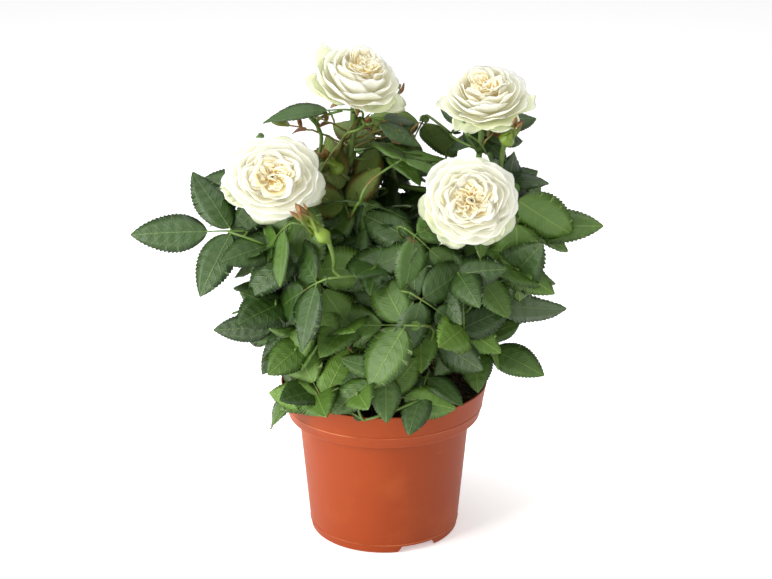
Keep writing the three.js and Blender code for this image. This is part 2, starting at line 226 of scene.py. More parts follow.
class Graph:
    """One material's nodes, built from expressions on signals."""

    def __init__(self, name: str, preview: Colour) -> None:
        """Start an empty material.

        Args:
            name: The material's name.
            preview: Its plain colour where no nodes are used.
        """
        self.material = bpy.data.materials.new(name)
        self.material.use_nodes = True
        self.material.diffuse_color = (*preview, 1.0)
        self.tree = self.material.node_tree
        self.tree.nodes.clear()

    def add(self, kind: str, settings: dict | None = None, inputs: dict | None = None) -> bpy.types.Node:
        """Add any node.

        Args:
            kind: The node's type.
            settings: Its own properties, which are set first. "stops" are a ramp's.
            inputs: The values or signals of its sockets, by name or place.

        Returns:
            The node.
        """
        node = self.tree.nodes.new(kind)
        for key, value in (settings or {}).items():
            if key == "stops":
                self._set_stops(node.color_ramp, value)
            else:
                setattr(node, key, value)
        for key, value in (inputs or {}).items():
            if isinstance(value, Signal):
                self.tree.links.new(value.socket, node.inputs[key])
            else:
                node.inputs[key].default_value = value
        return node

    @staticmethod
    def _set_stops(ramp: bpy.types.ColorRamp, stops: Stops) -> None:
        """Give a ramp its stops.

        Args:
            ramp: The ramp.
            stops: Places and colours, in rising order.
        """
        while len(ramp.elements) < len(stops):
            ramp.elements.new(1.0)
        for element, (place, colour) in zip(ramp.elements, stops):
            element.position = place
            element.color = (*colour, 1.0)

    def out(self, node: bpy.types.Node, name: str | int = 0) -> Signal:
        """One output of a node as a signal."""
        return Signal(self, node.outputs[name])

    def place(self) -> Signal:
        """The point's place on its piece."""
        return self.out(self.add("ShaderNodeTexCoord"), "Object")

    def stretched(self, scale: tuple[float, float, float]) -> Signal:
        """The point's place, scaled along each axis."""
        node = self.add("ShaderNodeVectorMath", {"operation": "MULTIPLY"}, {0: self.place(), 1: scale})
        return self.out(node)

    def own_map(self) -> tuple[Signal, Signal, Signal]:
        """The point's place in its piece's own map.

        Returns:
            The place as a vector, its part across and its part up.
        """
        spot = self.out(self.add("ShaderNodeUVMap", {"uv_map": BAKE_MAP}))
        split = self.add("ShaderNodeSeparateXYZ", None, {0: spot})
        return spot, self.out(split, "X"), self.out(split, "Y")

    def noise(self, scale: float, detail: float = 3.0, vector: Signal | None = None) -> Signal:
        """Smooth noise from 0 to 1.

        Args:
            scale: Waves for each metre, or for each unit of vector.
            detail: How many finer layers it has.
            vector: Where it is read. The point's place where left out.

        Returns:
            Its value.
        """
        inputs = {"Vector": vector or self.place(), "Scale": scale, "Detail": detail}
        return self.out(self.add("ShaderNodeTexNoise", None, inputs), "Fac")

    def ramp(self, factor: Signal, stops: Stops) -> Signal:
        """Colours dealt out along a factor."""
        return self.out(self.add("ShaderNodeValToRGB", {"stops": stops}, {"Fac": factor}), "Color")

    def mix(self, amount: Operand, first: object, second: object) -> Signal:
        """Mix two colours.

        Args:
            amount: The second colour's share.
            first: A colour or a signal.
            second: A colour or a signal.

        Returns:
            The mixed colour.
        """
        pair = [(*c, 1.0) if isinstance(c, tuple) else c for c in (first, second)]
        inputs = {0: amount, 6: pair[0], 7: pair[1]}
        return self.out(self.add("ShaderNodeMix", {"data_type": "RGBA"}, inputs), 2)

    def bump(self, height: Signal, distance: float, strength: float = 1.0) -> Signal:
        """A surface relief of a given depth in metres."""
        inputs = {"Height": height, "Distance": distance, "Strength": strength}
        return self.out(self.add("ShaderNodeBump", None, inputs), "Normal")

    def finish(self, **sockets: object) -> Material:
        """Close the material with a Principled surface.

        Args:
            sockets: Its sockets, with an underscore for each space of a name.

        Returns:
            The material.
        """
        inputs = {}
        for key, value in sockets.items():
            is_colour = isinstance(value, tuple) and key.endswith("Color")
            inputs[key.replace("_", " ")] = (*value, 1.0) if is_colour else value
        surface = self.add("ShaderNodeBsdfPrincipled", None, inputs)
        self.add("ShaderNodeOutputMaterial", None, {"Surface": self.out(surface)})
        return self.material


# ---- finishes


class Tint(Enum):
    """The leaf colours, which are dealt out by spray."""

    DEEP = "deep"
    MIDDLE = "middle"
    FRESH = "fresh"
    YOUNG = "young"
    RED = "red"


@dataclass(frozen=True)
class LeafTile:
    """How leaf surfaces share one square of map: rows of tiles, the lowest for the undersides."""

    across: int = 4
    up: int = 4
    margin: float = 0.45
    foot: float = 0.02
    reach: float = 0.96

    def corner(self, along: Array, side: Array, column: int, row: int) -> Array:
        """Map places for points of one blade.

        Args:
            along: Each point's share of the length, from the foot.
            side: Each point's offset from the midrib, as a share of the half width.
            column: The tile's column.
            row: The tile's row.

        Returns:
            An array of map places, one for each point.
        """
        u = (column + 0.5 + self.margin * np.clip(side, -1.08, 1.08)) / self.across
        v = (row + self.foot + self.reach * np.clip(along, 0.0, 1.0)) / self.up
        return np.stack([u, v], axis=-1)


LEAF_TILE = LeafTile()
PETAL_TILE = LeafTile(across=2, up=2)
WHOLE_TILE = LeafTile(across=1, up=1)


@dataclass(frozen=True)
class LeafFinish:
    """A satin leaf with a pale midrib, side veins and a paler underside."""

    tint: Tint
    top: Colour
    light: Colour
    rib: Colour
    under: Colour
    edge: Colour
    roughness: float
    gloss: float
    side_veins: float = 7.0
    vein_slope: float = 0.20
    vein_curve: float = 0.14
    edge_start: float = 0.95

    def build(self) -> Material:
        """Build the material.

        Returns:
            The material, whose pattern lies in the leaves' own map.
        """
        graph = Graph(f"leaf_{self.tint.value}", self.top)
        spot, u, v = graph.own_map()
        columns, rows = u * LEAF_TILE.across, v * LEAF_TILE.up
        side = ((columns.fraction() - 0.5) / LEAF_TILE.margin).size()
        along = (rows.fraction() - LEAF_TILE.foot) / LEAF_TILE.reach
        tile = columns.floor() + rows.floor() * LEAF_TILE.across
        is_top = rows.between(0.98, 1.02)

        wave = (along - side * self.vein_slope - side * side * self.vein_curve) * self.side_veins
        vein = ((wave.fraction() - 0.5).size() * 2).between(0.72, 1.0) * side.between(1.05, 0.8)
        rib = side.between(0.05, 0.01)
        cells = {"Vector": spot, "Scale": 190.0}
        net = graph.out(graph.add("ShaderNodeTexVoronoi", {"feature": "DISTANCE_TO_EDGE"}, cells), "Distance")
        cloud = graph.noise(26.0, 3.0, spot)

        shade = (tile * 0.618).fraction()
        body = graph.mix((shade * 0.6 + cloud * 0.5).between(0.15, 0.95), self.top, self.light)
        body = graph.mix((1 - net.between(0.0, 0.12)) * 0.22, body, self.edge)
        body = graph.mix(vein * 0.04, body, self.rib)
        body = graph.mix((side + along * 0.25).between(self.edge_start, 1.2) * 0.6, body, self.edge)
        body = graph.mix(rib * 0.34, body, self.rib)
        below = graph.mix(rib * 0.5 + vein * 0.25, self.under, self.rib)
        colour = graph.mix(is_top, below, body)

        swell = (1 - vein) * 0.55 + (1 - rib) * 0.8 + net.between(0.0, 0.2) * 0.25
        rough = self.roughness + (1 - is_top) * 0.25 + cloud * 0.12 + (shade - 0.5) * 0.16
        return graph.finish(
            Base_Color=colour,
            Roughness=rough,
            Normal=graph.bump(swell, 0.3 * MM, 0.7),
            Specular_IOR_Level=self.gloss,
        )


@dataclass(frozen=True)
class PetalFinish:
    """A soft white petal that warms towards its foot, by its place in the bloom. It glows faintly in its own
    colour, painted light that lifts its shade.
    """

    outer: Stops = (
        (0.0, srgb(159, 174, 104)),
        (0.4, srgb(191, 197, 151)),
        (0.8, srgb(208, 214, 172)),
        (1.0, srgb(200, 208, 156)),
    )
    middle: Stops = (
        (0.0, srgb(209, 199, 151)),
        (0.45, srgb(217, 214, 185)),
        (0.8, srgb(220, 219, 199)),
        (1.0, srgb(222, 221, 203)),
    )
    inner: Stops = (
        (0.0, srgb(211, 186, 122)),
        (0.45, srgb(220, 208, 160)),
        (0.8, srgb(222, 217, 188)),
        (1.0, srgb(224, 221, 199)),
    )
    heart: Stops = (
        (0.0, srgb(208, 152, 64)),
        (0.45, srgb(230, 197, 120)),
        (0.8, srgb(234, 220, 170)),
        (1.0, srgb(235, 229, 199)),
    )

    def build(self) -> Material:
        """Build the material.

        Returns:
            The material, whose pattern lies in the petals' own map.
        """
        graph = Graph("petal_white", srgb(246, 244, 228))
        _, u, v = graph.own_map()
        columns, rows = u * PETAL_TILE.across, v * PETAL_TILE.up
        along = (rows.fraction() - PETAL_TILE.foot) / PETAL_TILE.reach
        side = (columns.fraction() - 0.5) / PETAL_TILE.margin
        right = columns.between(0.98, 1.02)
        upper = rows.between(0.98, 1.02)
        low_pair = graph.mix(right, graph.ramp(along, self.outer), graph.ramp(along, self.middle))
        high_pair = graph.mix(right, graph.ramp(along, self.inner), graph.ramp(along, self.heart))
        colour = graph.mix(upper, low_pair, high_pair)
        fan = graph.add("ShaderNodeCombineXYZ", None, {"X": side * 9.0, "Y": along * 1.2})
        streak = graph.noise(4.0, 4.0, graph.out(fan))
        colour = graph.mix(streak.between(0.45, 0.8) * 0.10, colour, srgb(226, 226, 196))
        return graph.finish(
            Base_Color=colour,
            Roughness=0.62,
            Normal=graph.bump(streak, 0.25 * MM, 0.5),
            Specular_IOR_Level=0.25,
            Subsurface_Weight=0.8,
            Subsurface_Radius=(1.0, 0.97, 0.85),
            Subsurface_Scale=3 * MM,
            # Painted light: the petals glow faintly in their own colour to lift their shaded parts.
            Emission_Color=colour,
            Emission_Strength=0.14,
        )


@dataclass(frozen=True)
class ShootFinish:
    """Bark of a rose shoot: green, streaked, and browner where it is old."""

    name: str
    fresh: Colour
    ripe: Colour
    blush: Colour
    ripeness: float
    roughness: float

    def build(self) -> Material:
        """Build the material.

        Returns:
            The material.
        """
        graph = Graph(self.name, self.fresh)
        streak = graph.noise(1.0, 4.0, graph.stretched((900.0, 900.0, 90.0)))
        patch = graph.noise(70.0, 3.0)
        warts = graph.noise(900.0, 2.0)
        aged = (patch + streak * 0.5 - 0.75 + self.ripeness).between(0.0, 0.5)
        colour = graph.mix(aged, self.fresh, self.ripe)
        colour = graph.mix(patch.between(0.56, 0.74) * 0.6, colour, self.blush)
        colour = graph.mix(warts.between(0.66, 0.72) * 0.5, colour, self.ripe)
        return graph.finish(
            Base_Color=colour,
            Roughness=self.roughness + aged * 0.2,
            Normal=graph.bump(streak + warts * 0.5, 0.3 * MM, 0.6),
        )


@dataclass(frozen=True)
class BudFinish:
    """A green bud that reddens towards its pointed tip, read along its own map."""

    def build(self) -> Material:
        """Build the material.

        Returns:
            The material.
        """
        graph = Graph("bud_green", srgb(140, 168, 60))
        spot, u, along = graph.own_map()
        stops = [
            (0.0, srgb(86, 114, 32)),
            (0.3, srgb(112, 136, 38)),
            (0.6, srgb(104, 120, 38)),
            (0.82, srgb(132, 98, 50)),
            (1.0, srgb(142, 68, 38)),
        ]
        ribs = (u * 40.0).sine() * 0.5 + 0.5
        mottle = graph.noise(30.0, 3.0, spot)
        colour = graph.mix(mottle.between(0.45, 0.8) * 0.35, graph.ramp(along, stops), srgb(96, 122, 44))
        return graph.finish(
            Base_Color=colour,
            Roughness=0.45,
            Normal=graph.bump(ribs * 0.4 + mottle, 0.2 * MM, 0.6),
        )


@dataclass(frozen=True)
class PotFinish:
    """Thin injection-moulded plastic in a terracotta colour: satin, with faint flow marks and scuffs, pale
    painted highlights along two moulding lines and a painted shadow line under the rim band.
    """

    body: Colour = srgb(141, 54, 12)
    pale: Colour = srgb(158, 74, 28)
    dark: Colour = srgb(130, 45, 8)
    # line is a painted highlight: a pale colour laid along the moulding lines, where their ridges catch the
    # light.
    line: Colour = srgb(206, 128, 84)
    highlight_line_heights: tuple[float, ...] = (5.4 * MM, 78.4 * MM)
    # A painted shadow: a dark line just under the rim band, where the band's overhang shades the body.
    under_band_painted_shadow: Colour = srgb(92, 30, 8)
    under_band_shadow_height: float = 71.1 * MM

    def build(self) -> Material:
        """Build the material.

        Returns:
            The material.
        """
        graph = Graph("pot_plastic", self.body)
        flow = graph.noise(1.0, 4.0, graph.stretched((16.0, 16.0, 5.0)))
        cloud = graph.noise(34.0, 4.0)
        grain = graph.noise(2600.0, 2.0)
        colour = graph.mix(flow.between(0.35, 0.7) * 0.5, self.body, self.dark)
        colour = graph.mix(cloud.between(0.5, 0.75) * 0.4, colour, self.pale)
        scratch_lines = graph.noise(1.0, 5.0, graph.stretched((40.0, 40.0, 1500.0)))
        scuff = scratch_lines.between(0.66, 0.74) * cloud.between(0.45, 0.65)
        colour = graph.mix(scuff * 0.25, colour, srgb(214, 132, 92))
        up = graph.out(graph.add("ShaderNodeSeparateXYZ", None, {0: graph.place()}), "Z")
        # Pale painted highlights along the moulding lines, patchy with the cloud.
        for height in self.highlight_line_heights:
            near = (up - height).size().between(0.42 * MM, 0.1 * MM)
            colour = graph.mix(near * cloud.between(0.3, 0.6) * 0.5, colour, self.line)
        # Painted shadow in a thin band just below the rim band's lower edge.
        below = (up - self.under_band_shadow_height).size().between(0.9 * MM, 0.2 * MM)
        colour = graph.mix(below * 0.6, colour, self.under_band_painted_shadow)
        return graph.finish(
            Base_Color=colour,
            Roughness=0.46 + cloud * 0.12 + scuff * 0.1,
            Normal=graph.bump(grain * 0.6 + flow * 0.4, 0.12 * MM, 0.5),
            Specular_IOR_Level=0.3,
            Specular_Tint=(1.0, 0.84, 0.66, 1.0),
        )


@dataclass(frozen=True)
class PeatFinish:
    """Moist fibrous peat: nearly black, with brown crumbs and a few pale fibres."""

    name: str = "peat_dark"
    deep: Colour = srgb(24, 17, 12)
    crumb: Colour = srgb(66, 46, 30)
    speck: Colour = srgb(120, 84, 52)

    def build(self) -> Material:
        """Build the material.

        Returns:
            The material.
        """
        graph = Graph(self.name, self.crumb)
        lumps = graph.noise(260.0, 5.0)
        grit = graph.noise(1300.0, 3.0)
        colour = graph.mix(lumps.between(0.35, 0.7), self.deep, self.crumb)
        colour = graph.mix(grit.between(0.66, 0.72) * 0.8, colour, self.speck)
        return graph.finish(
            Base_Color=colour,
            Roughness=0.85,
            Normal=graph.bump(lumps + grit * 0.5, 1.2 * MM, 1.0),
            Specular_IOR_Level=0.3,
        )


@dataclass(frozen=True)
class FloorFinish:
    """A plain pale studio floor."""

    colour: Colour = srgb(250, 250, 250)

    def build(self) -> Material:
        """Build the material."""
        glow = {"Emission_Color": self.colour, "Emission_Strength": 0.42}
        return Graph("studio_floor", self.colour).finish(Base_Color=self.colour, Roughness=0.9, **glow)


# ---- mesh making


class MeshStore:
    """Collects many small patches and joins them into one mesh."""

    def __init__(self) -> None:
        """Start empty."""
        self.points: list[Array] = []
        self.faces: list[Array] = []
        self.corners: list[Array] = []
        self.count = 0

    def add(self, points: Array, faces: Array, corners: Array | None = None) -> None:
        """Add one patch.

        Args:
            points: Its points, one row each.
            faces: Its faces, as rows of three or four places in points.
            corners: The map place of every face corner, where the piece brings a map.
        """
        self.points.append(points.reshape(-1, 3))
        self.faces.append(faces + self.count)
        if corners is not None:
            self.corners.append(corners.reshape(-1, 2))
        self.count += len(self.points[-1])

    def build(self, name: str) -> bpy.types.Object:
        """Join everything into one object.

        Args:
            name: The object's name.

        Returns:
            The linked object, smooth shaded.
        """
        points = np.concatenate(self.points)
        loops = np.concatenate([f.ravel() for f in self.faces])
        sizes = np.concatenate([np.full(len(f), f.shape[1]) for f in self.faces])
        mesh = bpy.data.meshes.new(name)
        mesh.vertices.add(len(points))
        mesh.vertices.foreach_set("co", points.ravel())
        mesh.loops.add(len(loops))
        mesh.loops.foreach_set("vertex_index", loops)
        mesh.polygons.add(len(sizes))
        mesh.polygons.foreach_set("loop_start", np.cumsum(sizes) - sizes)
        if self.corners:
            layer = mesh.uv_layers.new(name=BAKE_MAP)
            layer.data.foreach_set("uv", np.concatenate(self.corners).ravel())
        mesh.update(calc_edges=True)
        mesh.validate()
        mesh.shade_smooth()
        piece = bpy.data.objects.new(name, mesh)
        bpy.context.scene.collection.objects.link(piece)
        return piece


class ShellLattice:
    """The faces of a thin closed shell: an upper and a lower sheet that share their rim."""

    def __init__(self, rows: int, columns: int) -> None:
        """Lay out a lattice.

        Args:
            rows: Rows along the length.
            columns: Columns across the width.
        """
        upper = np.arange(rows * columns).reshape(rows, columns)
        lower = upper.copy()
        inside = (rows - 2) * (columns - 2)
        lower[1:-1, 1:-1] = rows * columns + np.arange(inside).reshape(rows - 2, columns - 2)
        self.upper_faces = self._quads(upper)
        self.lower_faces = self._quads(lower)[:, ::-1]
        self.lower_spots = self.upper_faces[:, ::-1]

    @staticmethod
    def _quads(index: Array) -> Array:
        """The quads of a grid of point numbers."""
        ring = [index[:-1, 1:], index[1:, 1:], index[1:, :-1], index[:-1, :-1]]
        return np.stack(ring, axis=-1).reshape(-1, 4)

    def place(
        self, store: MeshStore, sheet: Array, thickness: float, upper_map: Array, lower_map: Array
    ) -> None:
        """Add one shell to a store.

        Args:
            store: What it is added to.
            sheet: The upper sheet's points, as rows by columns by three.
            thickness: How far the lower sheet lies below it.
            upper_map: The upper sheet's map places, as rows by columns by two.
            lower_map: The lower sheet's map places.
        """
        normal = unit_rows(np.cross(np.gradient(sheet, axis=0), np.gradient(sheet, axis=1)))
        below = (sheet - normal * thickness)[1:-1, 1:-1]
        points = np.concatenate([sheet.reshape(-1, 3), below.reshape(-1, 3)])
        faces = np.concatenate([self.upper_faces, self.lower_faces])
        upper, lower = upper_map.reshape(-1, 2), lower_map.reshape(-1, 2)
        store.add(points, faces, np.concatenate([upper[self.upper_faces], lower[self.lower_spots]]))


def ring_faces(rings: int, sides: int) -> tuple[Array, Array, Array]:
    """The faces of a round body whose rings of points are followed by its two end points.

    Args:
        rings: How many rings it has.
        sides: How many points each ring has.

    Returns:
        The quads between the rings, the fan at the first end and the fan at the last.
    """
    index = np.arange(rings * sides).reshape(rings, sides)
    turned = np.roll(index, -1, axis=1)
    quads = np.stack([index[:-1], turned[:-1], turned[1:], index[1:]], axis=-1).reshape(-1, 4)
    first = np.stack([turned[0], index[0], np.full(sides, rings * sides)], axis=-1)
    last = np.stack([index[-1], turned[-1], np.full(sides, rings * sides + 1)], axis=-1)
    return quads, first, last


def add_tube(store: MeshStore, path: Array, radii: Array, sides: int = 8, mapped: bool = False) -> None:
    """Add a round tube with closed ends along a path.

    Args:
        store: What it is added to.
        path: The middle line's points.
        radii: The radius at each of them.
        sides: How many sides it has.
        mapped: Whether its corners get map places, from foot to tip.
    """
    count = len(path)
    tangents = unit_rows(np.gradient(path, axis=0))
    side = across(np.array([0.23, 0.11, 0.97]), tangents[0])
    angles = np.linspace(0, 2 * math.pi, sides, endpoint=False)
    rings = np.empty((count, sides, 3))
    for i, tangent in enumerate(tangents):
        side = across(side, tangent)
        other = np.cross(tangent, side)
        spokes = np.cos(angles)[:, None] * side + np.sin(angles)[:, None] * other
        rings[i] = path[i] + spokes * radii[i]
    points = np.concatenate([rings.reshape(-1, 3), path[:1], path[-1:]])
    quads, *fans = ring_faces(count, sides)
    start = store.count
    corners = None
    if mapped:
        height = np.repeat(np.linspace(0.02, 0.98, count), sides)
        turn = np.tile(np.linspace(0.02, 0.9, sides), count)
        spots = np.concatenate([np.stack([turn, height], axis=-1), [[0.5, 0.01], [0.5, 0.99]]])
        corners = spots[quads]
        last = quads[:, 1] % sides == 0
        corners[last, 1, 0] = corners[last, 2, 0] = 0.98
    store.add(points, quads, corners)
    for fan in fans:
        store.faces.append(fan + start)
        if mapped:
            store.corners.append(spots[fan].reshape(-1, 2))


def add_lathe(store: MeshStore, profile: Array, segments: int) -> None:
    """Add a body turned about the Z axis.

    Args:
        store: What it is added to.
        profile: Rows of radius and height, from one end on the axis to the other.
        segments: How many steps go round.
    """
    angles = np.linspace(0, 2 * math.pi, segments, endpoint=False)
    rows = profile[1:-1]
    out, up = rows[:, :1], np.repeat(rows[:, 1:], segments, axis=1)
    rings = np.stack([out * np.cos(angles), out * np.sin(angles), up], axis=-1)
    ends = np.array([[0, 0, profile[0, 1]], [0, 0, profile[-1, 1]]])
    quads, *fans = ring_faces(len(rows), segments)
    start = store.count
    store.add(np.concatenate([rings.reshape(-1, 3), ends]), quads)
    store.faces += [fan + start for fan in fans]


def settle(piece: bpy.types.Object, material: Material, replaced: Iterable[str] = ()) -> None:
    """Dress a piece, let it ride and say what it stands for.

    Args:
        piece: The piece.
        material: Its material.
        replaced: The solids that it stands for.
    """
    piece.data.materials.clear()
    piece.data.materials.append(material)
    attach(piece, BODY)
    names = list(replaced)
    if names:
        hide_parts(*names)
    log.info("%s: %d faces, stands for %d solids", piece.name, len(piece.data.polygons), len(names))


# ---- what the frame says


class Solid:
    """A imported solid, read for its place and shape. nodes holds the frame's solids by name."""

    nodes: ClassVar[dict[str, bpy.types.Object]] = {}

    def __init__(self, node: str) -> None:
        """Read a node.

        Args:
            node: The node's name.
        """
        self.low, self.high = (np.array(corner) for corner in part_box(node))
        self.centre = (self.low + self.high) / 2
        mesh = self.nodes[node].data
        points = np.empty(len(mesh.vertices) * 3)
        mesh.vertices.foreach_get("co", points)
        self.points = points.reshape(-1, 3)

    def reach(self, direction: Array) -> float:
        """How far the solid reaches from its centre in a direction."""
        return float(((self.points - self.centre) @ direction).max())

    def long_axis(self, sense: Array) -> Array:
        """The unit direction in which its points spread most, pointing with a given sense."""
        axis = np.linalg.svd(self.points - self.points.mean(axis=0), full_matrices=False)[2][0]
        return axis if axis @ sense >= 0 else -axis

    def middle_line(self, spacing: float = 12 * MM) -> Array:
        """A limb's middle line, from its lower end to its upper end.

        Args:
            spacing: Roughly how far apart the returned points are.

        Returns:
            An array of points.
        """
        share = (self.points - self.points.mean(axis=0)) @ self.long_axis(UP)
        count = max(3, round(float(share.max() - share.min()) / spacing) + 1)
        stations = np.linspace(share.min(), share.max(), count)
        width = np.full(count, (stations[1] - stations[0]) * 0.4)
        width[[0, -1]] = 1 * MM
        weights = np.exp(-(((share[:, None] - stations) / width) ** 2))
        return (weights.T @ self.points) / weights.sum(axis=0)[:, None]


class KeepOut:
    """The room of the pot, its peat and the blooms, where no leaf may grow.

    Leaves stay a clearance off the pot, a peat_gap over the peat, and hang at most hang below the rim.
    """

    clearance = 1.5 * MM
    rim_gap = 4 * MM
    peat_gap = 2 * MM
    hang = 17 * MM

    def __init__(self, pot: Solid, soil: Solid) -> None:
        """Take the pot's and the peat's room.

        Args:
            pot: The pot's solid.
            soil: The peat's solid.
        """
        self.rim_radius = float(pot.high[0])
        self.rim_height = float(pot.high[2])
        self.soil_top = float(soil.high[2])
        self.blooms: list[tuple[Array, Array, float, float]] = []

    def add_bloom(self, centre: Array, facing: Array, radius: float, depth: float) -> None:
        """Keep leaves out of a bloom's flat round room."""
        self.blooms.append((centre, facing, radius, depth))

    def inside(self, points: Array) -> Array:
        """Test points against the rooms that are kept free.

        Args:
            points: One row for each point.

        Returns:
            Whether each point lies in such a room.
        """
        level = np.hypot(points[:, 0], points[:, 1])
        height = points[:, 2]
        in_pot = (level < self.rim_radius + self.clearance) & (height < self.rim_height + self.clearance)
        open_top = (level < self.rim_radius - self.rim_gap) & (height > self.soil_top + self.peat_gap)
        hit = (in_pot & ~open_top) | (height < self.rim_height - self.hang)
        for centre, facing, radius, depth in self.blooms:
            offset = points - centre
            along = offset @ facing
            out = np.linalg.norm(offset - along[:, None] * facing, axis=1)
            hit |= (out / radius) ** 2 + (along / depth) ** 2 < 1
        return hit


# ---- leaves


@dataclass
class LeafletShape:
    """The blade of one leaflet: pointed, toothed, folded along its midrib and quilted by its veins."""

    teeth: int = 19
    columns: int = 5
    foot_fullness: float = 0.62
    tip_taper: float = 0.9
    slenderness: float = 0.6
    tooth_depth: float = 0.036
    quilting: float = 0.0095
    arching: float = 0.22
    side_veins: float = 7.0
    thickness: float = 0.32 * MM
    atlas: LeafTile = LEAF_TILE
    lattice: ShellLattice = field(init=False)

    def __post_init__(self) -> None:
        """Work out what all leaflets share."""
        rows = 2 * self.teeth + 1
        self.lattice = ShellLattice(rows, self.columns)
        self.along = np.linspace(0, 1, rows)
        self.side = np.linspace(-1, 1, self.columns)
        outline = self.along**self.foot_fullness * (1 - self.along) ** self.tip_taper
        self.outline = np.clip(outline / outline.max(), 0.035, 1)
        self.outline[-1] = 0.012

    def add(
        self, store: MeshStore, base: Array, axis: Array, normal: Array, length: float, rng: Rng,
        tile: int, fold: float | None = None, slim: float = 1.0,
    ) -> None:
        """Add one leaflet.

        Args:
            store: What it is added to.
            base: Where the blade begins.
            axis: Where its midrib points.
            normal: Where its upper face looks.
            length: The blade's length.
            rng: The source of its unevenness.
            tile: Which tile of the leaf map it takes.
            fold: How far its halves are folded up, in radians.
            slim: What its width is scaled by.
        """
        width = length * self.slenderness * slim / 2 * rng.uniform(0.9, 1.12)
        bend = rng.uniform(0.1, 0.65)
        fold = rng.uniform(0.06, 0.34) if fold is None else fold
        twist = rng.uniform(-0.3, 0.3)
        wave = rng.uniform(0.02, 0.07) * width
        phase = rng.uniform(0, 2 * math.pi)
        along, side = self.along[:, None], self.side[None, :]
        offset = self.outline[:, None] * side * width
        forward = np.zeros_like(offset)
        tooth = np.where(np.arange(len(self.along)) % 2 == 1, 1.0, -1.0)
        tooth[[0, -1]] = 0
        depth = self.tooth_depth * width * self.outline * tooth
        offset[:, 0] -= depth
        offset[:, -1] += depth
        step = length / (len(self.along) - 1)
        forward[:, [0, -1]] += (np.clip(tooth, 0, 1) * self.outline * step * 0.7)[:, None]
        rise = np.abs(offset) * (math.tan(fold) - self.arching * np.abs(side))
        veins = np.cos(2 * math.pi * self.side_veins * (along - 0.2 * np.abs(side) - 0.14 * side**2))
        rise = rise - self.quilting * length * veins * np.abs(side) * (1.15 - np.abs(side)) * 2
        rise = rise + wave * np.sin(3 * math.pi * along + phase + side) * side**2
        turn = twist * along
        cos, sin = np.cos(turn), np.sin(turn)
        offset, rise = offset * cos - rise * sin, offset * sin + rise * cos
        sag = bend * along**1.3
        run = np.concatenate([[0], np.cumsum(np.cos(sag[1:, 0]))]) * step
        drop = np.concatenate([[0], np.cumsum(np.sin(sag[1:, 0]))]) * step
        forth = run[:, None] + forward * np.cos(sag) + rise * np.sin(sag)
        lift = -drop[:, None] - forward * np.sin(sag) + rise * np.cos(sag)
        sideways = np.cross(normal, axis)
        sheet = base + forth[..., None] * axis + offset[..., None] * sideways + lift[..., None] * normal
        share = side * self.outline[:, None]
        along = np.broadcast_to(along, share.shape)
        column = tile % self.atlas.across
        row = 1 + tile // self.atlas.across % (self.atlas.up - 1) if self.atlas.up > 1 else 0
        upper, lower = (self.atlas.corner(along, share, column, at) for at in (row, 0))
        self.lattice.place(store, sheet, self.thickness, upper, lower)


@dataclass(frozen=True)
class LeafPose:
    """Where one whole leaf lies.

    base is its foot, tip its end leaflet's tip and normal where its upper face looks. blade is the
    end leaflet's length, pairs how many pairs it has and slim what the leaflets' width is scaled by.
    """

    base: Array
    tip: Array
    normal: Array
    blade: float
    pairs: int
    slim: float


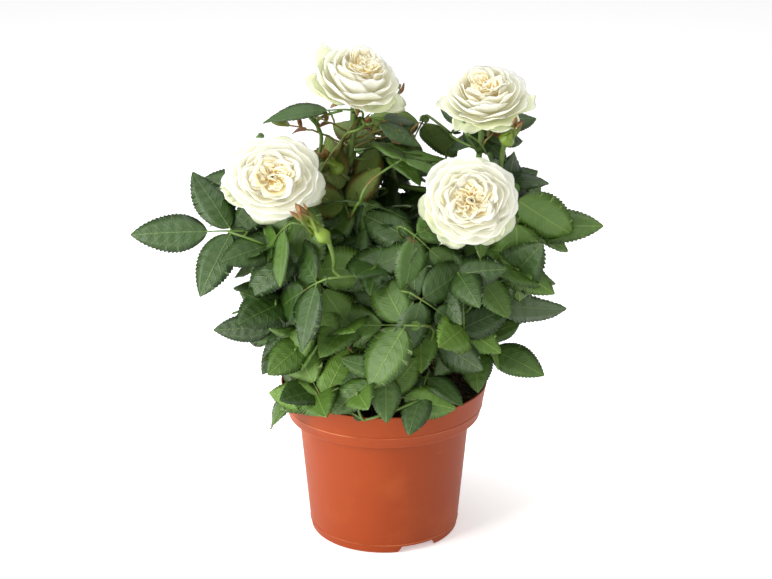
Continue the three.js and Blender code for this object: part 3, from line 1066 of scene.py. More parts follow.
@dataclass
class CompoundLeaf:
    """A rose leaf: a stalk with an end leaflet and one or two pairs beside it."""

    petiole_share: float = 0.55
    pair_share: float = 0.44
    end_share: float = 0.26
    lateral_size: tuple[float, float] = (0.9, 0.74)
    stalk_radius: float = 0.55 * MM
    blade: LeafletShape = field(default_factory=LeafletShape)

    def leafy_share(self, pairs: int) -> float:
        """The length past the bare stalk, for an end leaflet of length one."""
        return self.pair_share * (pairs - 1) + self.end_share + 1

    def joints(self, pose: LeafPose) -> list[Array]:
        """Where the leaflets meet the stalk.

        Args:
            pose: Where the leaf lies.

        Returns:
            The points of the pairs, from the foot, and then the end leaflet's.
        """
        whole = float(np.linalg.norm(pose.tip - pose.base))
        stalk = max(whole - pose.blade * self.leafy_share(pose.pairs), 0)
        places = [stalk + pose.blade * self.pair_share * i for i in range(pose.pairs)]
        places.append(places[-1] + pose.blade * self.end_share)
        axis = unit(pose.tip - pose.base)
        return [pose.base + axis * place for place in places]

    def sample(self, pose: LeafPose) -> Array:
        """Points spread over a leaf that isn't made yet, to test its room.

        Args:
            pose: Where the leaf would lie.

        Returns:
            One row for each point.
        """
        axis = unit(pose.tip - pose.base)
        side = np.cross(pose.normal, axis)
        points = [pose.tip, pose.tip - axis * pose.blade * 0.5]
        for size, place in zip(self.lateral_size, self.joints(pose)[-2::-1]):
            for way in (-1, 1):
                reach = unit(axis * 0.5 + side * way) * pose.blade * size
                points += [place + reach, place + reach * 0.5]
        return np.array(points)

    def add(self, blades: MeshStore, stalks: MeshStore, pose: LeafPose, rng: Rng, keep_out: KeepOut) -> int:
        """Add one whole leaf, with the two narrow wings at its foot.

        Args:
            blades: Takes the leaflets.
            stalks: Takes the stalk.
            pose: Where the leaf lies.
            rng: The source of its unevenness.
            keep_out: The room that its leaflets stay out of.

        Returns:
            How many leaflets were added.
        """
        base, blade = pose.base, pose.blade
        axis = unit(pose.tip - base)
        normal = across(pose.normal, axis)
        side = np.cross(normal, axis)
        places = self.joints(pose)
        arch = normal * blade * rng.uniform(0.03, 0.10)
        end = places[-1]
        tile = int(rng.integers(0, 12))
        reach = max(float(np.linalg.norm(end - base)), 1e-6)
        added = 0
        aims = [(end, unit(axis - normal * 0.05), blade)]
        for size, place in zip(self.lateral_size, places[-2::-1]):
            for way in (-1, 1):
                spread = rng.uniform(0.85, 1.25)
                lean = rng.uniform(-0.25, 0.25)
                aim = unit(axis * rng.uniform(0.45, 0.8) + side * way * spread + normal * lean)
                aims.append((place, aim, blade * size * rng.uniform(0.9, 1.08)))
        spots = list(product((0.1, 0.25, 0.4, 0.55, 0.7, 0.85, 1.0), (-0.16, 0.0, 0.16)))
        for place, aim, length in aims:
            share = float(np.linalg.norm(place - base)) / reach
            seat = place + arch * 2 * share * (1 - share)
            foot = seat + aim * length * 0.05
            over = np.cross(normal, aim)
            test = [foot + (aim * s - normal * 0.22 * s**2 + over * w) * length for s, w in spots]
            if keep_out.inside(np.array(test)).any():
                continue
            facing = across(normal + side * rng.uniform(-0.2, 0.2), aim)
            neck = np.array([seat, (seat + foot) / 2, foot + aim * length * 0.03])
            add_tube(stalks, neck, np.full(3, 0.42 * MM), 5)
            self.blade.add(blades, foot, aim, facing, length, rng, tile, slim=pose.slim)
            added += 1
        if added:
            line = bezier([base, (base + end) / 2 + arch, end], 9)
            add_tube(stalks, line, self.stalk_radius * (1.25 - 0.5 * np.linspace(0, 1, 9)), 6)
            for way in (-1, 1):
                wing = unit(axis + side * way * 0.25)
                self.blade.add(blades, base + side * way * 0.3 * MM, wing, normal, blade * 0.15, rng, 3, 0.2)
        return added


# ---- the branching rule


@dataclass(frozen=True)
class SprayPlan:
    """How one mass of leaves is filled.

    leaves is how many whole leaves it gets, blade the end leaflets' length, pairs how many pairs
    each leaf has, tints are the leaf colours that its leaves are dealt from, lift is how much its
    leaves rise, or hang where it is below zero, and slim scales their width.
    """

    mass: str
    leaves: int
    blade: float = 34 * MM
    pairs: int = 2
    tints: tuple[Tint, ...] = (Tint.DEEP, Tint.DEEP, Tint.MIDDLE, Tint.MIDDLE, Tint.FRESH)
    lift: float = -0.28
    slim: float = 1.0

    @property
    def node(self) -> str:
        """The mass's solid."""
        return f"foliage_{self.mass}"


@dataclass(frozen=True)
class ShootPlan:
    """A thin reddish shoot: the limb and share of its length where it starts, and where it goes."""

    node: str
    share: float
    azimuth: float
    pitch: float
    length: float
    leaves: int = 4


class Skeleton:
    """Every grown point that a new twig may start from."""

    fall_cost = 0.75

    def __init__(self) -> None:
        """Start empty."""
        self.points = np.empty((0, 3))
        self.aims = np.empty((0, 3))
        self.radii = np.empty(0)

    def extend(self, line: Array, radii: Array) -> None:
        """Take in a limb's points.

        Args:
            line: The points, from its foot.
            radii: The radius at each.
        """
        self.points = np.concatenate([self.points, line])
        self.aims = np.concatenate([self.aims, unit_rows(np.gradient(line, axis=0))])
        self.radii = np.concatenate([self.radii, radii])

    def cost(self, target: Array, aim: Array = UP) -> tuple[float, int]:
        """The cheapest grown point to reach a target from.

        Args:
            target: What is to be reached.
            aim: Where the limb goes from there. Coming from that side costs more.

        Returns:
            The cost, and the point's place.
        """
        offset = target - self.points
        distance = np.linalg.norm(offset, axis=1)
        fall = np.clip(-offset[:, 2], 0, None) + np.clip(-offset @ aim, 0, None)
        costs = distance + self.fall_cost * fall
        best = int(costs.argmin())
        return float(costs[best]), best


class Crown:
    """All limbs, twigs and leaves of the bush."""

    twig_radius = 1.15 * MM
    tries = 14
    blocked_cost = 2.5
    blocked_limit = 2
    longest_sweep = 14 * MM
    light = unit(np.array([-0.2, -1.0, 0.45]))

    def __init__(self, plans: Sequence[SprayPlan], keep_out: KeepOut) -> None:
        """Prepare the crown.

        Args:
            plans: How each mass is filled.
            keep_out: The room that leaves stay out of.
        """
        self.plans = plans
        self.keep_out = keep_out
        self.rng = np.random.default_rng(SEED)
        self.skeleton = Skeleton()
        self.leaf = CompoundLeaf()
        self.small_blade = LeafletShape(teeth=7, slenderness=0.5, tooth_depth=0.03)
        self.blades = {tint: MeshStore() for tint in Tint}
        self.masses_by_tint: dict[Tint, list[str]] = {tint: [] for tint in Tint}
        self.leaf_stalks = MeshStore()
        self.twigs = MeshStore()
        self.shoots = MeshStore()
        self.placed = np.empty((0, 3))
        self.limbs: dict[str, Array] = {}

    def take_limb(self, node: str, line: Array, radii: Array, bearing: int) -> None:
        """Take a limb that has its own mesh into the skeleton.

        Args:
            node: The limb's node.
            line: Its middle line.
            radii: Its radius at each point.
            bearing: How many of its points twigs may start from.
        """
        self.limbs[node] = line
        self.skeleton.extend(line[:bearing], radii[:bearing])

    def sprout(self, plan: ShootPlan) -> None:
        """Grow one young shoot with its small folded leaves.

        Args:
            plan: Where it starts and where it goes.
        """
        limb = self.limbs[plan.node]
        foot = limb[round(plan.share * (len(limb) - 1))]
        aim = towards(plan.azimuth, plan.pitch)
        bend = foot + (aim * 0.5 + UP * self.rng.uniform(0.05, 0.2)) * plan.length
        count = 14
        line = bezier([foot, bend, foot + aim * plan.length], count)
        line[1:-1] += self.rng.normal(0, 0.25 * MM, (count - 2, 3))
        add_tube(self.shoots, line, np.linspace(0.75, 0.4, count) * MM, 7)
        side = across(UP, aim)
        for i in range(plan.leaves):
            at = round(count * (0.4 + 0.55 * (i + 1) / plan.leaves)) - 1
            way = side * (-1) ** i * 0.7 + aim * 0.8 + UP * self.rng.uniform(0.1, 0.7)
            way = unit(way + self.rng.normal(0, 0.25, 3))
            length = self.rng.uniform(6, 11) * MM
            facing = across(UP + self.rng.normal(0, 0.4, 3), way)
            spot = line[min(at, count - 1)]
            tint = Tint.RED if i % 3 else Tint.YOUNG
            self.small_blade.add(self.blades[tint], spot, way, facing, length, self.rng, i, 0.5)

    def join(self, target: Array, aim: Array, radius: float) -> None:
        """Grow a twig from the nearest grown point to a limb's foot.

        Args:
            target: The limb's foot.
            aim: Where the limb goes from there.
            radius: Its radius.
        """
        start = self.skeleton.cost(target, aim)[1]
        back = min(0.4 * float(np.linalg.norm(target - self.skeleton.points[start])), self.longest_sweep)
        self._grow_twig(start, target, target - aim * back, radius, radius)

    def _grow_twig(self, start: int, target: Array, control: Array, thick: float, thin: float) -> None:
        """Grow a twig from a skeleton point.

        Args:
            start: The skeleton point's place.
            target: The twig's end.
            control: The point that it bends towards.
            thick: Its largest radius at the foot.
            thin: Its radius at the end.
        """
        foot = self.skeleton.points[start]
        length = float(np.linalg.norm(target - foot))
        count = max(5, int(length / (4 * MM)) + 1)
        line = bezier([foot, control, target], count)
        thick = min(thick, float(self.skeleton.radii[start]) * 0.95)
        radii = np.linspace(max(thick, thin), thin, count)
        nodes = np.arange(count) % 4 == 2
        add_tube(self.twigs, line, radii * np.where(nodes, 1.12, 1.0), 8)
        self.skeleton.extend(line[1:], radii[1:])

    def grow(self) -> None:
        """Fill every mass, always the one that is cheapest to reach from what has grown."""
        waiting = [(plan, Solid(plan.node)) for plan in self.plans]
        while waiting:
            costs = [self.skeleton.cost(self._entry(solid))[0] for _, solid in waiting]
            plan, solid = waiting.pop(int(np.argmin(costs)))
            self._fill(plan, solid)

    @staticmethod
    def _entry(solid: Solid) -> Array:
        """Where a twig enters a mass: on its inner, lower side."""
        inward = unit(solid.centre * [-1, -1, 0] + np.array([0, 0, -25 * MM]))
        return solid.centre + inward * solid.reach(inward) * 0.6

    def _fill(self, plan: SprayPlan, solid: Solid) -> None:
        """Grow a twig through a mass and hang its leaves on it.

        Args:
            plan: How the mass is filled.
            solid: The mass.
        """
        outward = unit(solid.centre * [1, 1, 0] + np.array([0, 0, 12 * MM]))
        lone = plan.leaves == 1
        along = solid.long_axis(solid.centre * [1, 1, 0]) if lone else outward
        hub = solid.centre - along * solid.reach(-along) * (1.0 if lone else 0.45)
        start = self.skeleton.cost(hub)[1]
        foot = self.skeleton.points[start]
        aim = self.skeleton.aims[start]
        control = foot + (aim * 0.4 + unit(hub - foot) * 0.6) * np.linalg.norm(hub - foot) * 0.5
        self._grow_twig(start, hub, control, self.twig_radius * 1.2, self.twig_radius * 0.6)
        tints = [plan.tints[int(self.rng.integers(len(plan.tints)))] for _ in range(plan.leaves)]
        self.masses_by_tint[tints[0]].append(plan.node)
        for direction, tint in zip(self._directions(plan.leaves, outward, solid, plan.lift), tints):
            self._hang_leaf(plan, solid, hub, direction, outward, tint)

    def _directions(self, count: int, outward: Array, solid: Solid, lift: float) -> list[Array]:
        """Spread directions over the outward side of a mass.

        Args:
            count: How many.
            outward: Away from the pot's axis.
            solid: The mass.
            lift: How much they rise.

        Returns:
            Unit directions. The first points along a long mass's own axis.
        """
        if count == 1:
            return [solid.long_axis(solid.centre * [1, 1, 0])]
        golden = math.pi * (3 - math.sqrt(5))
        spin = self.rng.uniform(0, 2 * math.pi)
        side = across(UP, outward)
        other = np.cross(outward, side)
        chosen = []
        for i in range(count):
            ahead = 1 - 1.35 * (i + 0.35) / count
            level = math.sqrt(max(1 - ahead**2, 0))
            turn = spin + golden * i
            spread = (side * math.cos(turn) + other * math.sin(turn)) * level
            chosen.append(unit(outward * ahead + spread + UP * lift))
        return chosen

    def _hang_leaf(
        self, plan: SprayPlan, solid: Solid, hub: Array, direction: Array, outward: Array, tint: Tint
    ) -> None:
        """Place one leaf where it has most room.

        Args:
            plan: How the mass is filled.
            solid: The mass.
            hub: The end of the twig that bears the leaf.
            direction: Roughly where its tip lies, from the mass's middle.
            outward: Away from the pot's axis.
            tint: The leaf's colour.
        """
        best = None
        for _ in range(self.tries):
            jitter = self.rng.normal(0, 0.16 if plan.leaves > 1 else 0.02, 3)
            aim = unit(direction + jitter)
            tip = solid.centre + aim * solid.reach(aim) * self.rng.uniform(0.84, 1.03)
            distance = float(np.linalg.norm(tip - hub))
            blade = plan.blade * self.rng.uniform(0.88, 1.08)
            pairs = plan.pairs if distance > 1.45 * blade else 1
            leafy = self.leaf.leafy_share(pairs)
            length = blade * max(leafy + 0.18, min(distance / blade, leafy + self.leaf.petiole_share))
            seat = tip - unit(tip - hub) * length
            light = self.light * max(0.0, 0.55 + float(outward @ self.light))
            facing = UP * 0.5 + outward * 0.4 + light * 1.2 + self.rng.normal(0, 0.18, 3)
            facing = across(facing, unit(tip - seat))
            pose = LeafPose(seat, tip, facing, blade, pairs, plan.slim)
            points = self.leaf.sample(pose)
            crowding = 0.0
            if len(self.placed):
                gaps = np.linalg.norm(points[1::2, None] - self.placed[None], axis=-1).min(axis=1)
                crowding = float(np.clip(1 - gaps / (0.5 * blade), 0, None).sum())
            stem = np.linspace(seat, (seat + tip) / 2, 4)
            blocked = float(self.keep_out.inside(np.concatenate([points, stem])).sum())
            score = crowding + self.blocked_cost * blocked
            if best is None or score < best[0]:
                best = (score, blocked, pose, points)
        _, blocked, pose, points = best
        if blocked > self.blocked_limit:
            return
        if self.leaf.add(self.blades[tint], self.leaf_stalks, pose, self.rng, self.keep_out):
            self.placed = np.concatenate([self.placed, points[1::2]])
            self._link_leaf(pose, outward)

    def _link_leaf(self, pose: LeafPose, outward: Array) -> None:
        """Lead a leaf's stalk back to the nearest twig, inside the crown where it can.

        Args:
            pose: Where the leaf lies.
            outward: Away from the pot's axis.
        """
        seat, aim = pose.base, unit(pose.tip - pose.base)
        offset = self.skeleton.points - seat
        gaps = np.linalg.norm(offset, axis=1) + 1.2 * np.clip(offset[:, 2], 0, None)
        gaps += 0.4 * np.clip(offset @ aim, 0, None)
        gaps += 0.6 * np.clip(offset @ outward, 0, None)
        root = self.skeleton.points[int(gaps.argmin())]
        middle = seat - aim * min(0.4 * float(np.linalg.norm(seat - root)), 5 * MM)
        past = max(0.0, float((middle - seat) @ outward), float((middle - root) @ outward))
        middle = middle - outward * past * 0.8
        link = bezier([root, middle, seat], 8)
        add_tube(self.leaf_stalks, link, np.linspace(0.85, 0.66, 8) * MM, 6)
        self.skeleton.extend(link[1:], np.full(7, 0.7 * MM))

    def build(self, finishes: dict[Tint, Material], twig: Material, shoot: Material) -> None:
        """Build the joined pieces.

        Args:
            finishes: The material of each leaf colour.
            twig: The material of twigs and leaf stalks.
            shoot: The material of the young shoots.
        """
        for tint, store in self.blades.items():
            if store.count:
                piece = store.build(f"leaves_{tint.value}")
                settle(piece, finishes[tint], self.masses_by_tint[tint])
        settle(self.twigs.build("twigs"), twig)
        settle(self.leaf_stalks.build("leaf_stalks"), twig)
        settle(self.shoots.build("young_shoots"), shoot)


# ---- limbs


@dataclass
class Limb:
    """A cane, bough or flower stalk with its bark, following its solid's middle line.

    bearing is the share of its length, from its foot, that twigs may start from.
    """

    node: str
    material: Material
    slot: str
    prickles: int = 0
    buried: float = 0.0
    bearing: float = 1.0
    sides: int = 14
    spacing: float = 2 * MM
    node_spacing: float = 17 * MM
    node_swelling: float = 0.10

    def build(self, crown: Crown, rng: Rng) -> None:
        """Build the limb and join it to the bush.

        Args:
            crown: The crown, whose twigs start from its limbs.
            rng: The source of its unevenness.
        """
        solid = Solid(self.node)
        rough_line = solid.middle_line()
        if self.buried:
            rough_line[0] -= UP * self.buried
        length = float(np.linalg.norm(np.diff(rough_line, axis=0), axis=1).sum())
        line = self._smoothed(rough_line, max(8, int(length / self.spacing)))
        share = np.linspace(0, 1, len(line))
        radii = self._radii(solid, line)
        if self.slot != "cane_bark":
            crown.join(line[0], unit(line[1] - line[0]), float(radii[0]))
        from_node = (share * length / self.node_spacing) % 1 - 0.5
        swelling = 1 + self.node_swelling * np.exp(-(from_node**2) / 0.004)
        uneven = 1 + 0.04 * np.sin(share * length / (5 * MM))
        store = MeshStore()
        add_tube(store, line, radii * swelling * uneven, self.sides)
        for _ in range(self.prickles):
            self._add_prickle(store, line, radii, rng)
        settle(store.build(f"{self.node}_bark"), self.material, [self.node])
        crown.take_limb(self.node, line, radii, max(2, round(self.bearing * len(line))))

    @staticmethod
    def _smoothed(points: Array, count: int) -> Array:
        """Smooth a rough line.

        Args:
            points: The rough points, which the curve runs through.
            count: How many points to return.

        Returns:
            Points along the curve.
        """
        ends = np.concatenate([[2 * points[0] - points[1]], points, [2 * points[-1] - points[-2]]])
        places = np.linspace(0, len(points) - 1 - 1e-9, count)
        first = places.astype(int)
        t = (places - first)[:, None]
        a, b, c, d = (ends[first + i] for i in range(4))
        return 0.5 * (
            2 * b + (c - a) * t + (2 * a - 5 * b + 4 * c - d) * t**2 + (3 * b - a - 3 * c + d) * t**3
        )

    @staticmethod
    def _radii(solid: Solid, line: Array) -> Array:
        """Read how the solid tapers.

        Args:
            solid: The limb's solid.
            line: Its middle line.

        Returns:
            The radius at each point of the line.
        """
        gaps = np.linalg.norm(solid.points[:, None] - line[None], axis=-1)
        nearest = gaps.argmin(axis=1)
        distance = gaps.min(axis=1)
        third = max(len(line) // 3, 1)
        foot = np.median(distance[nearest < third]) if (nearest < third).any() else distance.mean()
        tip = np.median(distance[nearest >= 2 * third]) if (nearest >= 2 * third).any() else foot
        return np.linspace(foot, tip, len(line))

    @staticmethod
    def _add_prickle(store: MeshStore, line: Array, radii: Array, rng: Rng) -> None:
        """Add one prickle, hooked a little downwards.

        Args:
            store: What it is added to.
            line: The limb's middle line.
            radii: The limb's radius at each point.
            rng: The source of its place and size.
        """
        at = int(rng.integers(len(line) // 5, len(line) - 2))
        along = unit(line[at + 1] - line[at])
        side = across(rng.normal(0, 1, 3), along)
        foot = line[at] + side * radii[at] * 0.8
        size = rng.uniform(1.6, 2.8) * MM
        hook = bezier([foot, foot + side * size * 0.7, foot + side * size - along * size * 0.45], 5)
        add_tube(store, hook, np.array([0.75, 0.5, 0.32, 0.18, 0.05]) * MM, 6)


# ---- blooms and buds


@dataclass
class PetalShape:
    """A petal's lattice. Petals are thin closed shells, cupped round the bloom's axis."""

    rows: int = 13
    columns: int = 13
    thickness: float = 0.28 * MM
    lattice: ShellLattice = field(init=False)

    def __post_init__(self) -> None:
        """Work out what all petals share."""
        self.lattice = ShellLattice(self.rows, self.columns)
        self.along = np.linspace(0, 1, self.rows)[:, None]
        self.side = np.linspace(-1, 1, self.columns)[None, :]


@dataclass(frozen=True)
class PetalPose:
    """One petal's curve, as radius and height at its foot, its bend and its tip, in bloom radii."""

    foot: tuple[float, float]
    bend: tuple[float, float]
    tip: tuple[float, float]
    half_width: float
    tile: int
    wrap: float = 1.1
    ruffle: float = 0.03
    lip: float = 0.06
    crease: float = 0.0
    hub: tuple[float, float] = (0.0, 0.0)


@dataclass
class Bloom:
    """A full rose that stands for its solid.

    Broad petals lie round its axis, and small folded ones fill its heart in quarters. dome is how
    high its middle stands and evenness how round its face is, both in radii. A cupped bloom
    closes round its heart. shift moves it in its solid's room, sideways and up. guards are its
    hanging outer petals: their turn in degrees round the axis, their reach and their drop.
    """

    node: str
    azimuth: float
    pitch: float
    seed: int
    dome: float = 0.5
    evenness: float = 1.0
    cupped: float = 0.0
    petals: int = 30
    quarters: int = 4
    quarter_petals: int = 7
    spread: float = 1.05
    shift: tuple[float, float] = (0.0, 0.0)
    guards: tuple[tuple[float, float, float], ...] = ()
    shape: PetalShape = field(default_factory=PetalShape)

    def measure(self) -> None:
        """Read the bloom's place and radius from its solid."""
        solid = Solid(self.node)
        self.facing = towards(self.azimuth, self.pitch)
        self.east = across(np.array([1.0, 0.0, 0.0]), self.facing)
        self.north = np.cross(self.facing, self.east)
        self.centre = solid.centre + np.array([self.shift[0], 0.0, self.shift[1]])
        self.radius = float(solid.high[0] - solid.low[0]) / 2 * self.spread

    def build(self, petal: Material, green: Material) -> None:
        """Build the bloom's petals and its green cup.

        Args:
            petal: The petals' material.
            green: The material of the cup and sepals.
        """
        rng = np.random.default_rng(self.seed)
        store = MeshStore()
        for turn, reach, drop in self.guards:
            lip = rng.uniform(0.02, 0.08)
            pose = PetalPose((0.1, -0.4), (0.62, -0.36), (reach, -drop), 0.44, 0, ruffle=0.05, lip=lip)
            self._add_petal(store, math.radians(turn), pose, rng)
        turn = rng.uniform(0, 2 * math.pi)
        for i in range(self.petals):
            turn += math.radians(137.5) + rng.normal(0, 0.10)
            self._add_petal(store, turn, self._round_petal(i / (self.petals - 1), rng), rng)
        for quarter in range(self.quarters):
            aim = 2 * math.pi * (quarter + rng.uniform(-0.12, 0.12)) / self.quarters + turn
            self._fill_quarter(store, aim, rng)
        for i in range(7):
            top = self.dome * 0.68
            pose = PetalPose((0.02, top - 0.08), (0.16, top - 0.04), (0.36, top), 0.26, 3, lip=0.02)
            self._add_petal(store, turn + 2.4 * i, pose, rng)
        for i in range(6):
            reach = 0.13 - 0.015 * i
            top = self.dome * (0.9 - 0.05 * i)
            bend, tip = (reach * 1.2, top * 0.5), (reach * 0.3, top)
            pose = PetalPose((0.03, 0.0), bend, tip, reach + 0.06, 3, lip=0.02)
            self._add_petal(store, turn + 2.4 * i, pose, rng)
        settle(store.build(f"{self.node}_petals"), petal, [self.node])
        settle(self._cup().build(f"{self.node}_sepals"), green)

    def _round_petal(self, share: float, rng: Rng) -> PetalPose:
        """A broad petal's curve.

        Args:
            share: 0 for the outermost and 1 for the innermost.
            rng: The source of its unevenness.

        Returns:
            The curve.
        """
        stops = np.array([0.0, 0.15, 0.35, 0.6, 0.8, 1.0])
        table = {
            "bend_r": [0.66, 0.76, 0.74, 0.62, 0.52, 0.42],
            "bend_z": [-0.44, -0.38, -0.22, -0.06, 0.02, 0.06],
            "tip_r": [1.00, 0.97, 0.87, 0.72, 0.60, 0.48],
            "tip_z": [-0.26, 0.02, 0.44, 0.80, 0.96, 1.00],
            "width": [0.60, 0.62, 0.58, 0.52, 0.46, 0.38],
        }
        value = {key: float(np.interp(share, stops, row)) for key, row in table.items()}
        inner = float(np.clip((share - 0.25) / 0.3, 0, 1)) * self.cupped
        lift = self.dome if value["tip_z"] > 0 else 1.0
        tip_z = value["tip_z"] * lift + rng.normal(0, 0.025)
        return PetalPose(
            foot=(0.08, -0.42 + 0.15 * share),
            bend=(value["bend_r"] * (1 + 0.12 * inner), value["bend_z"]),
            tip=(value["tip_r"] * rng.uniform(0.95, 1.03) * (1 - 0.14 * inner), tip_z),
            half_width=value["width"] * rng.uniform(0.9, 1.1),
            tile=0 if share < 0.08 else 1 if share < 0.75 else 2,
            ruffle=rng.uniform(0.02, 0.045),
            lip=rng.uniform(0.03, 0.10) * (1.15 - share) * (1 - 0.5 * inner),
            crease=rng.uniform(0.0, 0.05) * share,
        )

    def _fill_quarter(self, store: MeshStore, aim: float, rng: Rng) -> None:
        """Nest small folded petals in one quarter of the heart.

        Args:
            store: What they are added to.
            aim: The quarter's direction round the axis.
            rng: The source of their unevenness.
        """
        size = 0.30 * (1 - 0.1 * self.cupped)
        for i in range(self.quarter_petals):
            share = i / (self.quarter_petals - 1)
            reach = size * (1.0 - 0.80 * share)
            out = size * (0.78 - 0.25 * share)
            top = self.dome * (1.05 - 0.16 * share) + rng.normal(0, 0.025)
            pose = PetalPose(
                foot=(reach * 0.3, self.dome * 0.2),
                bend=(reach * 0.8, self.dome * 0.6),
                tip=(reach * rng.uniform(1.0, 1.2), top),
                half_width=reach * rng.uniform(1.3, 1.9) + 0.03,
                tile=2 if share < 0.4 else 3,
                ruffle=0.03 + 0.015 * share,
                lip=rng.uniform(0.05, 0.14),
                crease=rng.uniform(0.02, 0.12),
                hub=(math.cos(aim) * out, math.sin(aim) * out),
            )
            self._add_petal(store, aim + rng.normal(0, 0.4), pose, rng)

    def _add_petal(self, store: MeshStore, turn: float, pose: PetalPose, rng: Rng) -> None:
        """Add one petal.

        Args:
            store: What it is added to.
            turn: Its angle round its hub.
            pose: Its curve.
            rng: The source of its unevenness.
        """
        along, side = self.shape.along, self.shape.side
        phase = rng.uniform(0, 2 * math.pi, 3)
        waves = rng.uniform(1.1, 2.2)
        scallop = 0.018 * np.sin(5 * side + phase[0]) + 0.010 * np.sin(11 * side + phase[1])
        notch = 0.03 * np.exp(-((side / 0.16) ** 2))
        t = along * (1 - np.clip(0.34 * np.abs(side) ** 3 + scallop + notch, -0.03, 0.5))
        foot, bend, tip = pose.foot, pose.bend, pose.tip
        r, z = (foot[k] * (1 - t) ** 2 + bend[k] * 2 * t * (1 - t) + tip[k] * t**2 for k in (0, 1))
        dr, dz = (2 * (1 - t) * (bend[k] - foot[k]) + 2 * t * (tip[k] - bend[k]) for k in (0, 1))
        size = np.maximum(np.hypot(dr, dz), 1e-9)
        out_r, out_z = dz / size, -dr / size
        width = pose.half_width * (0.2 + 0.8 * np.sin(np.clip(t / 0.66, 0, 1) * math.pi / 2))
        curve = np.maximum(r, 0.04) * pose.wrap
        angle = np.clip(side * width / curve, -2.4, 2.4)
        ripple = np.sin(waves * math.pi * side + phase[0])
        ripple = ripple + 0.5 * np.sin(2.7 * waves * side + phase[1] + 3 * t)
        curl = pose.lip * np.clip((t - 0.68) / 0.32, 0, 1) ** 2
        push = pose.ruffle * t**2 * ripple + curl - pose.crease * (1 - np.abs(side)) * t
        radial = r - curve * (1 - np.cos(angle)) + out_r * push
        tangent = curve * np.sin(angle)
        height = z + out_z * push
        over = pose.hub[0] + radial * math.cos(turn) - tangent * math.sin(turn)
        up = (pose.hub[1] + radial * math.sin(turn) + tangent * math.cos(turn)) * self.evenness
        level = over[..., None] * self.east + up[..., None] * self.north
        sheet = self.centre + self.radius * (level + height[..., None] * self.facing)
        along, side = np.broadcast_arrays(along, side)
        spots = PETAL_TILE.corner(along, side, pose.tile % 2, pose.tile // 2)
        self.shape.lattice.place(store, sheet, self.shape.thickness, spots, spots)

    def _cup(self) -> MeshStore:
        """The green cup under the petals.

        Returns:
            The cup with its five sepals, folded back.
        """
        store = MeshStore()
        low = self.centre - self.facing * self.radius * 0.44
        count = 9
        share = np.linspace(0, 1, count)
        line = low + np.outer(np.linspace(-2.5, 6, count) * MM, self.facing)
        add_tube(store, line, (1.9 + 2.3 * np.sin(share * math.pi * 0.8)) * MM, 12, mapped=True)
        shape = LeafletShape(teeth=5, slenderness=0.34, tooth_depth=0.02, quilting=0.0, atlas=WHOLE_TILE)
        rng = np.random.default_rng(self.seed + 7)
        for i in range(5):
            turn = 2 * math.pi * i / 5 + rng.normal(0, 0.1)
            out = self.east * math.cos(turn) + self.north * math.sin(turn)
            aim = unit(out + self.facing * rng.uniform(-0.5, 0.1))
            normal = across(self.facing, aim)
            shape.add(store, low + out * 2.5 * MM, aim, normal, rng.uniform(12, 15) * MM, rng, i, 0.1)
        return store


@dataclass
class Bud:
    """A pointed bud: a round hip, a spindle of folded petals, and sepals that wrap it.

    shift moves its tip from its solid's, and lean moves its foot sideways.
    """

    node: str
    seed: int
    length: float = 18 * MM
    stoutness: float = 1.0
    shift: tuple[float, float, float] = (0.0, 0.0, 0.0)
    lean: float = 0.0

    def build(self, crown: Crown, green: Material) -> None:
        """Build the bud with its stalk.

        Args:
            crown: The crown that the stalk is joined to.
            green: The bud's material.
        """
        rng = np.random.default_rng(self.seed)
        solid = Solid(self.node)
        axis, base, tip, girth = self._read(solid)
        length = float(np.linalg.norm(tip - base))
        store = MeshStore()
        share = np.linspace(0, 1, 19)
        hip = 0.62 * np.exp(-(((share - 0.16) / 0.12) ** 2))
        spindle = 0.82 * np.exp(-(((share - 0.36) / 0.22) ** 2)) * (1 - share) ** 0.35
        body = girth * np.clip(hip + spindle, 0.05, 1.05)
        body[0], body[-1] = girth * 0.32, girth * 0.04
        add_tube(store, base + np.outer(share * length, axis), body, 16, mapped=True)
        shape = LeafletShape(teeth=5, slenderness=0.36, tooth_depth=0.02, quilting=0.0, atlas=WHOLE_TILE)
        east = across(np.array([1.0, 0.0, 0.0]), axis)
        north = np.cross(axis, east)
        for i in range(5):
            turn = 2 * math.pi * i / 5 + rng.normal(0, 0.12)
            out = east * math.cos(turn) + north * math.sin(turn)
            foot = base + axis * length * 0.26 + out * girth * 0.84
            aim = unit(axis - out * 0.22 + rng.normal(0, 0.05, 3))
            shape.add(store, foot, aim, across(out, aim), length * rng.uniform(0.74, 0.98), rng, i, -0.25)
        settle(store.build(f"{self.node}_sepals"), green, [self.node])
        foot = solid.points[((solid.points - base) @ axis).argmin()]
        stalk = bezier([foot, (foot + base) / 2 - axis * length * 0.12, base + axis * length * 0.05], 14)
        radii = np.linspace(girth * 0.22, girth * 0.34, 14)
        crown.join(foot, unit(stalk[1] - stalk[0]), float(radii[0]))
        add_tube(crown.twigs, stalk, radii, 10)

    def _read(self, solid: Solid) -> tuple[Array, Array, Array, float]:
        """Read the bud from the thick half of its solid.

        Args:
            solid: The solid.

        Returns:
            Its axis, foot, tip and greatest radius.
        """
        tip = solid.points[solid.points[:, 2].argmax()]
        gap = np.linalg.norm(solid.points - tip, axis=1)
        middle = solid.points[gap < 11 * MM].mean(axis=0)
        axis = unit(tip - middle)
        near = solid.points[((solid.points - tip) @ axis > -18 * MM)]
        out = near - tip
        out = out - np.outer(out @ axis, axis)
        girth = float(np.linalg.norm(out, axis=1).max()) * self.stoutness
        tip = tip + np.array(self.shift)
        axis = unit(tip - middle - [self.lean, 0, 0])
        return axis, tip - axis * self.length, tip, girth


# ---- pot and peat


